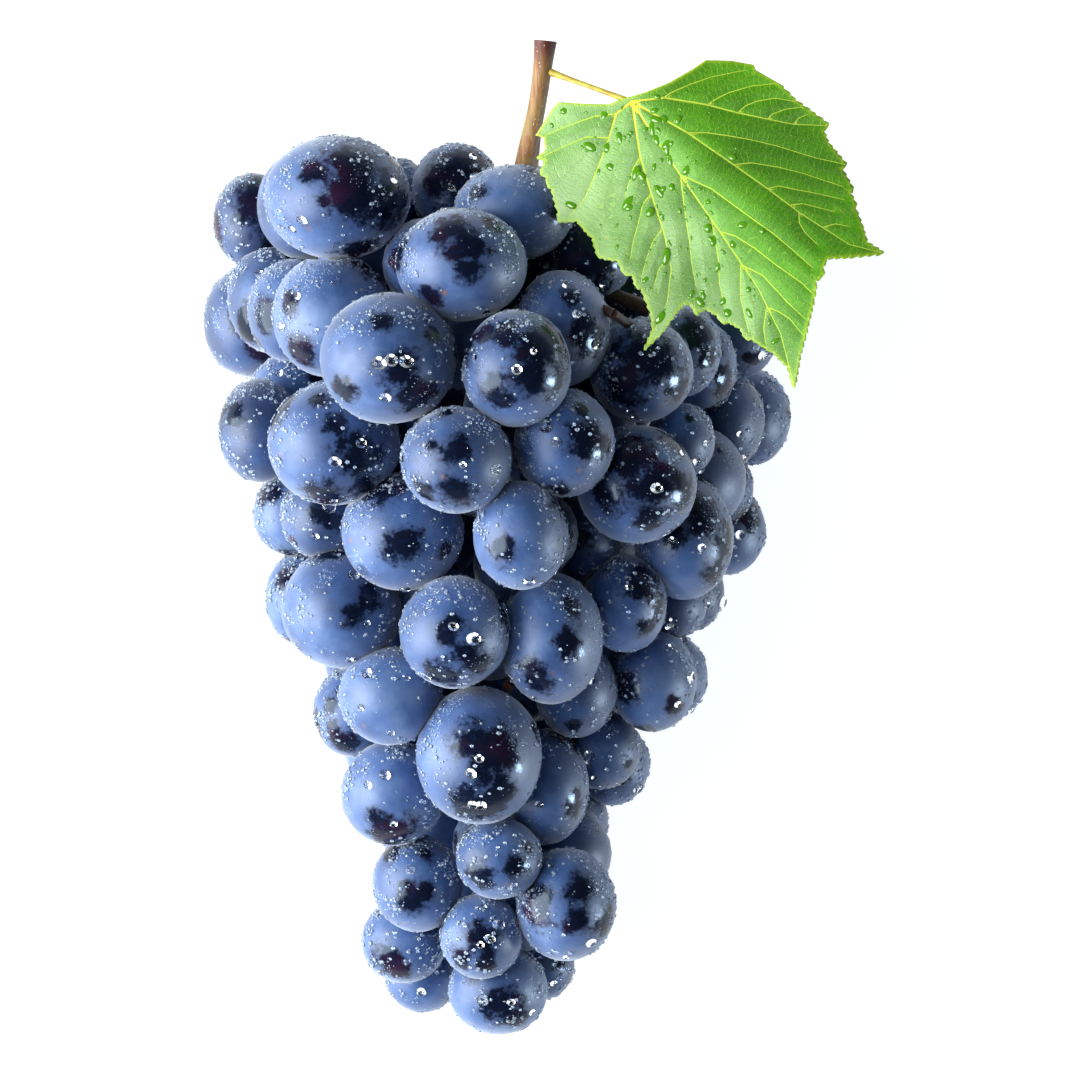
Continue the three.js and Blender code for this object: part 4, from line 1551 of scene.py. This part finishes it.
SIDE_VEINS: list[list[Place]] = [
    [(24.6, 87.9), (26, 88.9), (29.6, 90.5), (34, 92.1), (40.9, 93.5)],
    [(33.1, 86.5), (35.2, 87.8), (37.4, 88.9), (42, 90.3), (46.6, 90.8)],
    [(39.3, 84.9), (40.8, 86.3), (43.2, 87.3), (46.8, 87.9), (50.4, 87.3)],
    [(45.2, 83.7), (46.2, 84.7), (48.8, 85.7), (51.8, 86.1)],
    [(50.4, 82.7), (51.4, 83.9), (53.2, 84.7)],
    [(29.3, 80.8), (32.8, 80.9), (37.4, 80.3), (42, 79.5), (47.2, 78.3), (54.8, 76), (61, 74.7)],
    [(38.4, 74.5), (42, 74.9), (47.2, 74.1), (52.2, 72.9), (60.2, 70.3)],
    [(45.2, 69.7), (47.2, 70.3), (55.8, 68.7), (60.2, 67.7)],
    [(49.8, 66.5), (52.2, 66.8), (58.2, 65.3)],
    [(56.2, 62.1), (58.6, 62.8), (61.4, 62.3)],
    [(51.4, 64.9), (51.4, 63.1), (52.5, 61.1), (55, 58.7)],
    [(27.8, 72.5), (34, 69.7), (40.9, 64.6), (46.4, 60.7), (50.6, 57.1), (54, 54.1)],
    [(35.6, 61.3), (38.8, 60.3), (42.6, 57.9), (46.4, 54.9), (51.8, 51.1), (53.8, 49.2)],
    [(40.2, 54.5), (44.2, 52.5), (46.4, 50.1), (49.4, 46.9), (52.4, 44.1)],
    [(45, 46.3), (47.4, 45.3), (49.6, 43.9), (52, 40.9)],
    [(34, 63.5), (35.4, 55.7), (35.6, 50.9), (36.6, 46.1)],
    [(39.8, 55.1), (39.8, 47.9), (41.4, 41.5)],
    [(45, 46.3), (44.4, 42.1), (44.8, 39.1)],
    [(27.8, 72.5), (29, 63.1), (29.6, 59.5), (30.1, 54.9), (31, 50.3)],
    [(19.8, 75.9), (18.6, 74.1), (17.8, 71.5), (16.8, 68.3)],
    [(22, 68.7), (20.4, 66.7), (19.8, 64.1), (18.4, 58.9), (18, 56.1)],
    [(24.2, 61.9), (22.3, 59.1), (21.2, 56.1), (20.2, 52.5)],
    [(25.2, 55.7), (23.6, 53.9), (22.6, 50.3)],
    [(15.1, 84.7), (10.8, 84.2), (5.9, 82.5), (1, 80.5)],
    [(13.6, 79.9), (9.2, 80.1), (4.4, 78.1), (-0.2, 75.9)],
]


@dataclass
class Nearest:
    """Where places lie beside the nearest of some lines: all rows in millimetres but the share."""

    apart: np.ndarray
    across: np.ndarray
    along: np.ndarray
    share: np.ndarray


def nearest_line(places: np.ndarray, lines: list[list[Place]]) -> Nearest:
    """Finds the nearest of some lines.

    Args:
        places: Rows of x and y.
        lines: Lists of points.

    Returns:
        How far the places are from it, to which side, how far along it, and at what share of it.
    """
    found = Nearest(np.full(len(places), np.inf), *(np.zeros(len(places)) for _ in range(3)))
    for line in lines:
        points = np.array(line)
        lengths = np.linalg.norm(np.diff(points, axis=0), axis=1)
        for number, (start, end) in enumerate(zip(points[:-1], points[1:])):
            way = end - start
            off = places - start
            part = np.clip((off @ way) / (way @ way), 0, 1)
            apart = np.linalg.norm(off - part[:, None] * way, axis=1)
            side = np.sign(way[0] * off[:, 1] - way[1] * off[:, 0])
            nearer = apart < found.apart
            found.apart[nearer] = apart[nearer]
            found.across[nearer] = (apart * side)[nearer]
            found.along[nearer] = (lengths[:number].sum() + part * lengths[number])[nearer]
            found.share[nearer] = ((number + part) / (len(points) - 1))[nearer]
    return found


def distance_to_edge(places: np.ndarray) -> np.ndarray:
    """Returns how far places are from the blade's edge, in millimetres."""
    return nearest_line(places, [[*LEAF_EDGE, LEAF_EDGE[0]]]).apart


@dataclass
class Leaf:
    """The toothed blade with its veins, its thin stalk and the drops on it."""

    berries: Berries
    shift: np.ndarray
    junction: Place = (18.2, 87.1)
    crease_way: float = -0.79
    left_slope: float = 0.1
    right_slope: float = 0.4
    bend: float = 4.0
    top_slope: float = 0.18
    top_reach: float = 20.0
    wave: float = 1.3
    waves: int = 7
    wave_reach: float = 40.0
    gap: float = 0.9
    solid_thickness: float = 0.8
    thickness: float = 0.35
    middle: Place = (41, 73)
    rings: tuple[float, ...] = (0.36, 0.7, 1.0)
    spacing: float = 0.36
    tooth_length: float = 1.5
    tooth_height: float = 0.42
    vein_width: float = 0.15
    side_vein_width: float = 0.1
    pucker: float = 0.6
    drop_height: float = 0.3
    sheen_and_damp_way: float = -1.0
    sheen_and_damp_blur: float = 2.6
    first_toothed: int = 8
    last_toothed: int = 64
    drop_tries: int = 3300
    drop_margin: float = 1.3
    edge_room: float = 0.55
    vein_taper: Place = (1.5, 0.5)
    side_vein_taper: Place = (1.3, 0.7)
    side_pucker: float = 1.2
    pucker_width: float = 1.6
    rim_width: float = 0.26
    root_reach: float = 3.5
    stalk_start: Row = (-0.6, 93.4, 60.0)
    stalk_bend: float = 0.1
    stalk_bow: float = 1.5
    stalk_radii: Row = (0.9, 0.45, 0.4, 0.62)
    drop_start: Place = (20, 80)
    drop_slant: float = 0.45
    drop_band: float = 13.0
    drop_density: Place = (0.12, 0.001)
    drop_sizes: Place = (0.22, 0.95)
    drop_skew: float = 2.6
    drop_stretch: float = 1.2
    drop_lift: float = 0.02
    drop_faces: tuple[int, int] = (9, 6)
    crease: float = 0.0

    def fall(self, x: np.ndarray, y: np.ndarray) -> np.ndarray:
        """Works out how far the blade falls below its crease.

        Args:
            x: Places across.
            y: Places along.

        Returns:
            The fall in millimetres.
        """
        dx, dy = x - self.junction[0], y - self.junction[1]
        along = dx * math.cos(self.crease_way) + dy * math.sin(self.crease_way)
        aside = -dx * math.sin(self.crease_way) + dy * math.cos(self.crease_way)
        slope = np.where(aside > 0, self.right_slope, self.left_slope)
        reach = np.minimum(1.0, np.hypot(dx, dy) / self.wave_reach) ** 2
        wave = self.wave * np.sin(self.waves * np.arctan2(dy, dx)) * reach
        bent = np.hypot(aside, self.bend) - self.bend
        return bent * slope + np.maximum(0.0, self.top_reach - along) * self.top_slope - wave

    def find_crease(self) -> float:
        """Finds the crease by the solids' rule that the blade clears the berries.

        Returns:
            Its height in millimetres.
        """
        edge = np.array(LEAF_EDGE)
        middle = np.array(self.middle)
        places = np.concatenate([middle[None], *(middle + (edge - middle) * ring for ring in self.rings)])
        height = 0.0
        swell = self.berries.plan.facet_swell
        for berry in [*self.berries.shown, *self.berries.hidden]:
            share = ((places - berry.centre[:2]) / berry.sizes[:2]) ** 2
            share = share.sum(axis=1)
            over = places[share < 1]
            if len(over):
                top = berry.z + berry.c * swell * np.sqrt(1 - share[share < 1])
                clear = top + self.fall(over[:, 0], over[:, 1]) + self.gap + self.solid_thickness
                height = max(height, float(clear.max()))
        return height

    def outline(self) -> np.ndarray:
        """Draws the toothed edge, with fine teeth between the large.

        Returns:
            Rows of x and y, one every step along it.
        """
        points = np.array(LEAF_EDGE)
        fine = []
        for number, (start, end) in enumerate(zip(points, np.roll(points, -1, axis=0))):
            length = np.linalg.norm(end - start)
            out = np.array((start[1] - end[1], end[0] - start[0])) / length
            steps = max(1, round(length / self.spacing))
            toothed = self.first_toothed <= number <= self.last_toothed
            teeth = round(length / self.tooth_length) if toothed else 0
            for k in range(steps):
                rise = self.tooth_height * ((k * teeth / steps) % 1.0)
                fine.append(start + (end - start) * k / steps + out * rise)
        return np.array(fine)

    def net(self) -> tuple[np.ndarray, list]:
        """Fills the outline with even triangles.

        Returns:
            Rows of x and y, and the triangles.
        """
        edge = self.outline()
        low, high = edge.min(axis=0), edge.max(axis=0)
        rise = self.spacing * TRIANGLE_HEIGHT
        inner = []
        for number, y in enumerate(np.arange(low[1], high[1], rise)):
            start = low[0] + (number % 2) * self.spacing / 2
            inner += [(x, y) for x in np.arange(start, high[0], self.spacing)]
        inner = np.array(inner)
        inner = inner[distance_to_edge(inner) > self.spacing * self.edge_room]
        places = [Vector(row) for row in np.concatenate((edge, inner))]
        ring = [list(range(len(edge)))]
        found = geometry.delaunay_2d_cdt(places, [], ring, 1, MERGE_DISTANCE)
        corners = np.array([list(face) for face in found[2]])
        used, numbers = np.unique(corners, return_inverse=True)
        return np.array([tuple(v) for v in found[0]])[used], numbers.reshape(corners.shape).tolist()

    def relief(self, places: np.ndarray) -> tuple[np.ndarray, np.ndarray, Nearest]:
        """Works out the blade's veins.

        Args:
            places: Rows of x and y.

        Returns:
            The height of the relief, half the width of the nearest vein, and how it lies.
        """
        main, side = (nearest_line(places, lines) for lines in (MAIN_VEINS, SIDE_VEINS))
        sided = side.apart < main.apart
        parts = {
            name: np.where(sided, getattr(side, name), getattr(main, name))
            for name in ("apart", "across", "along", "share")
        }
        main_width = self.vein_width * lerp(*self.vein_taper, main.share)
        side_width = self.side_vein_width * lerp(*self.side_vein_taper, side.share)
        width = np.where(sided, side_width, main_width)
        swell = 1 - np.exp(-np.minimum(main.apart, side.apart * self.side_pucker) / self.pucker_width)
        return self.pucker * swell, width, Nearest(**parts)

    def sheen_and_dampness(self, places: np.ndarray) -> np.ndarray:
        """Works out where the blade is damp and painted with a pale sheen.

        Args:
            places: Rows of x and y.

        Returns:
            1 left of the crease, falling to 0 on its right.
        """
        off = places - np.array(self.junction)
        aside = -off[:, 0] * math.sin(self.sheen_and_damp_way) + off[:, 1] * math.cos(self.sheen_and_damp_way)
        return 1 / (1 + np.exp(aside / self.sheen_and_damp_blur))

    def height(self, places: np.ndarray) -> np.ndarray:
        """Returns the height of the blade's upper face in millimetres."""
        return self.crease - self.fall(places[:, 0], places[:, 1]) - self.pucker

    def build_blade(self, finish: Blade) -> None:
        """Makes the blade, thickened downwards.

        Args:
            finish: The blade's finish.
        """
        places, faces = self.net()
        relief, width, veins = self.relief(places)
        rows = np.column_stack((places, self.height(places) + relief))
        obj = mesh_object("leaf_blade_fine", (rows + self.shift) * MM, faces)
        root = np.linalg.norm(places - np.array(self.junction), axis=1)
        # Where the blade is less rough and painted with a pale sheen: 1 left of the crease.
        put_attribute(obj.data, "damp_and_sheen", self.sheen_and_dampness(places))
        for name in ("apart", "across", "along"):
            put_attribute(obj.data, name, getattr(veins, name))
        put_attribute(obj.data, "width", width)
        put_attribute(obj.data, "rim", np.exp(-distance_to_edge(places) / self.rim_width))
        put_attribute(obj.data, "root", np.exp(-root / self.root_reach))
        alone(obj)
        bpy.ops.object.mode_set(mode="EDIT")
        bpy.ops.mesh.select_all(action="SELECT")
        bpy.ops.mesh.normals_make_consistent(inside=False)
        bpy.ops.object.mode_set(mode="OBJECT")
        if obj.data.polygons[0].normal.z < 0:
            obj.data.flip_normals()
        wall = obj.modifiers.new("wall", "SOLIDIFY")
        wall.thickness = self.thickness * MM
        wall.offset = -1.0
        bpy.ops.object.modifier_apply(modifier="wall")
        smooth(obj)
        dress(obj, finish.material(), "leaf", "leaf_blade")

    def build_stalk(self, stalk: Stalk, finish: LeafStalkSkin) -> None:
        """Makes the leaf's own stalk, from the bunch's stalk up to the blade.

        Args:
            stalk: The maker of rods.
            finish: The leaf stalk's skin.
        """
        low, high = (np.array(corner) / MM - self.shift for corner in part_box("leaf_petiole"))
        end = np.array((*self.junction, high[2]))
        start = np.array((low[0], 0.0, 0.0)) + self.stalk_start
        middle = (start + end) / 2 + np.array((0.0, 0.0, self.stalk_bow))
        points = zip((start, lerp(start, end, self.stalk_bend), middle, end), self.stalk_radii)
        obj = stalk.rod("leaf_stalk", [(*point, radius) for point, radius in points])
        smooth(obj)
        dress(obj, finish.material(), "leaf_stalk", "leaf_petiole")

    def build_drops(self, beads: Beads, material: bpy.types.Material) -> None:
        """Scatters drops over the left and lower middle of the blade.

        Args:
            beads: The maker of drops.
            material: Water.
        """
        rng = np.random.default_rng(beads.seed + 1)
        dome = beads.dome(*self.drop_faces, "leaf_drop")
        places, _ = self.net()
        tops = self.height(places) + self.relief(places)[0]
        rim = distance_to_edge(places)
        most, least = self.drop_density
        laid = []
        for number in rng.permutation(len(places))[:self.drop_tries]:
            x, y = places[number]
            aside = x - self.drop_start[0] - self.drop_slant * (self.drop_start[1] - y)
            wet = math.exp(-(aside / self.drop_band) ** 2)
            if rim[number] < self.drop_margin or rng.random() > most * wet + least:
                continue
            size = lerp(*self.drop_sizes, rng.random() ** self.drop_skew)
            turn = rng.random() * math.pi
            long = 1 + self.drop_stretch * rng.random()
            first = np.array((math.cos(turn), math.sin(turn), 0.0)) * long
            second = np.array((-math.sin(turn), math.cos(turn), 0.0))
            frame = np.stack((first, second, (0.0, 0.0, self.drop_height))) * size
            laid.append((np.array((x, y, tops[number] + self.drop_lift)), frame))
        dress(copies("leaf_drops", dome, laid, self.shift), material, "leaf")


# The studio


@dataclass(frozen=True)
class Lamp:
    """A soft rectangular lamp: its place and size in metres, and its power in watts."""

    name: str
    place: Row
    size: Place
    power: float
    colour: Row = (1.0, 1.0, 1.0)
    lights_matt: bool = True
    mirrored: bool = True

    def hang(self, aim: Row) -> bpy.types.Object:
        """Hangs the lamp so that it faces a place.

        Args:
            aim: The place in metres.

        Returns:
            The lamp.
        """
        light = bpy.data.lights.new(self.name, "AREA")
        light.shape = "RECTANGLE"
        light.size, light.size_y = self.size
        light.energy = self.power
        light.color = self.colour
        obj = bpy.data.objects.new(self.name, light)
        obj.location = self.place
        obj.rotation_euler = (Vector(aim) - Vector(self.place)).to_track_quat("-Z", "Y").to_euler()
        obj.visible_diffuse = self.lights_matt
        obj.visible_glossy = self.mirrored
        bpy.context.collection.objects.link(obj)
        return obj


LAMPS = (
    Lamp("left", (-0.8, -0.1, 0.34), (0.8, 1.0), 28.0, (1.0, 0.97, 0.91)),
    Lamp("right", (0.8, -0.25, 0.14), (0.14, 0.28), 6.5, (0.78, 0.89, 1.0), lights_matt=False),
    Lamp("near", (-0.1, -0.9, 0.2), (0.8, 0.3), 3.5, (0.75, 0.87, 1.0), mirrored=False),
    Lamp("over", (-0.42, 0.1, 0.85), (0.55, 0.7), 3.0, mirrored=False),
)
LEAF_LAMP = Lamp("leaf", (-0.13, -0.09, 1.05), (0.34, 0.34), 7.0)


@dataclass
class Studio:
    """A plain white floor, soft lamps and a camera that looks straight down."""

    view_width: float = 0.216
    lens: float = 500.0
    sensor: float = 36.0
    level: float = 0.05
    floor_size: float = 6.0
    floor_level: float = -0.0002
    aim: Row = (0.0, 0.0, 0.04)
    sky: Row = (0.8, 0.9, 1.0)
    sky_band: Place = (0.05, 0.6)
    horizon: float = 0.45
    zenith: float = 0.08

    def build_floor(self) -> None:
        """Lays the floor."""
        bpy.ops.object.select_all(action="DESELECT")
        bpy.ops.mesh.primitive_plane_add(size=self.floor_size, location=(0, 0, self.floor_level))
        floor = made("floor")
        settle(floor)
        floor.data.materials.append(Ground().material())

    def light_leaf(self, pieces: list[bpy.types.Object]) -> None:
        """Hangs a lamp for the leaf alone, where the left half of its blade shines.

        Args:
            pieces: The pieces that it lights.
        """
        lamp = LEAF_LAMP.hang(self.aim)
        lit = bpy.data.collections.new("leaf_lit")
        for piece in pieces:
            lit.objects.link(piece)
        lamp.light_linking.receiver_collection = lit

    def build_lights(self) -> None:
        """Hangs the lamps, and sets a surround that is bright low down and dim overhead."""
        for lamp in LAMPS:
            lamp.hang(self.aim)
        tree = ShaderTree("surround", "worlds")
        way = tree.node("ShaderNodeTexCoord", {}, {}, "Generated")
        rise = tree.node("ShaderNodeSeparateXYZ", {}, {0: way}, "Z")
        strength = rise.ramp(*self.sky_band, self.horizon, self.zenith)
        sky = tree.node("ShaderNodeBackground", {}, {"Color": (*self.sky, 1.0), "Strength": strength})
        tree.node_out(sky, "ShaderNodeOutputWorld")
        bpy.context.scene.world = tree.material
        bpy.context.scene.view_settings.view_transform = "Standard"

    def build_camera(self, shift: np.ndarray) -> None:
        """Sets the camera over the middle of the photograph's frame.

        Args:
            shift: The shift from the plan to the frame.
        """
        camera = bpy.data.cameras.new("camera")
        camera.lens = self.lens
        camera.sensor_width = self.sensor
        obj = bpy.data.objects.new("camera", camera)
        reach = self.view_width * self.lens / self.sensor
        obj.location = (shift[0] * MM, shift[1] * MM, self.level + reach)
        bpy.context.collection.objects.link(obj)
        bpy.context.scene.camera = obj

    def build(self, shift: np.ndarray) -> None:
        """Builds the floor, the lights and the camera.

        Args:
            shift: The shift from the plan to the frame.
        """
        self.build_floor()
        self.build_lights()
        self.build_camera(shift)


def frame_shift() -> np.ndarray:
    """Works out how the plan lies in the frame, from the leaf's two far tips.

    Returns:
        The shift from the plan to the frame in millimetres.
    """
    leaf_right = max(x for x, _ in LEAF_EDGE)
    leaf_top = max(y for _, y in LEAF_EDGE)
    corner = np.array(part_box("leaf_blade")[1]) / MM
    return np.array((corner[0] - leaf_right, corner[1] - leaf_top, 0.0))


def main() -> None:
    """Builds the bunch round the frame."""
    logging.basicConfig(level=logging.INFO, format="%(name)s: %(message)s")
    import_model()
    shift = frame_shift()
    LOG.info("shift %s", shift)
    studio = Studio()
    studio.build(shift)
    berries = Berries(BunchPlan(), shift)
    berries.build(BerrySkin())
    drops = CLEAR_WATER.material()
    beads = Beads(berries)
    beads.build(BEAD_WATER.material(), drops)
    stalk = Stalk(shift)
    stalk.build(Bark())
    leaf = Leaf(berries, shift)
    leaf.crease = leaf.find_crease()
    leaf.build_blade(Blade())
    leaf.build_stalk(stalk, LeafStalkSkin())
    leaf.build_drops(beads, LEAF_WATER.material())
    studio.light_leaf([bpy.data.objects["leaf_blade_fine"], bpy.data.objects["leaf_drops"]])
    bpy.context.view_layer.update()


if __name__ == "__main__":
    main()
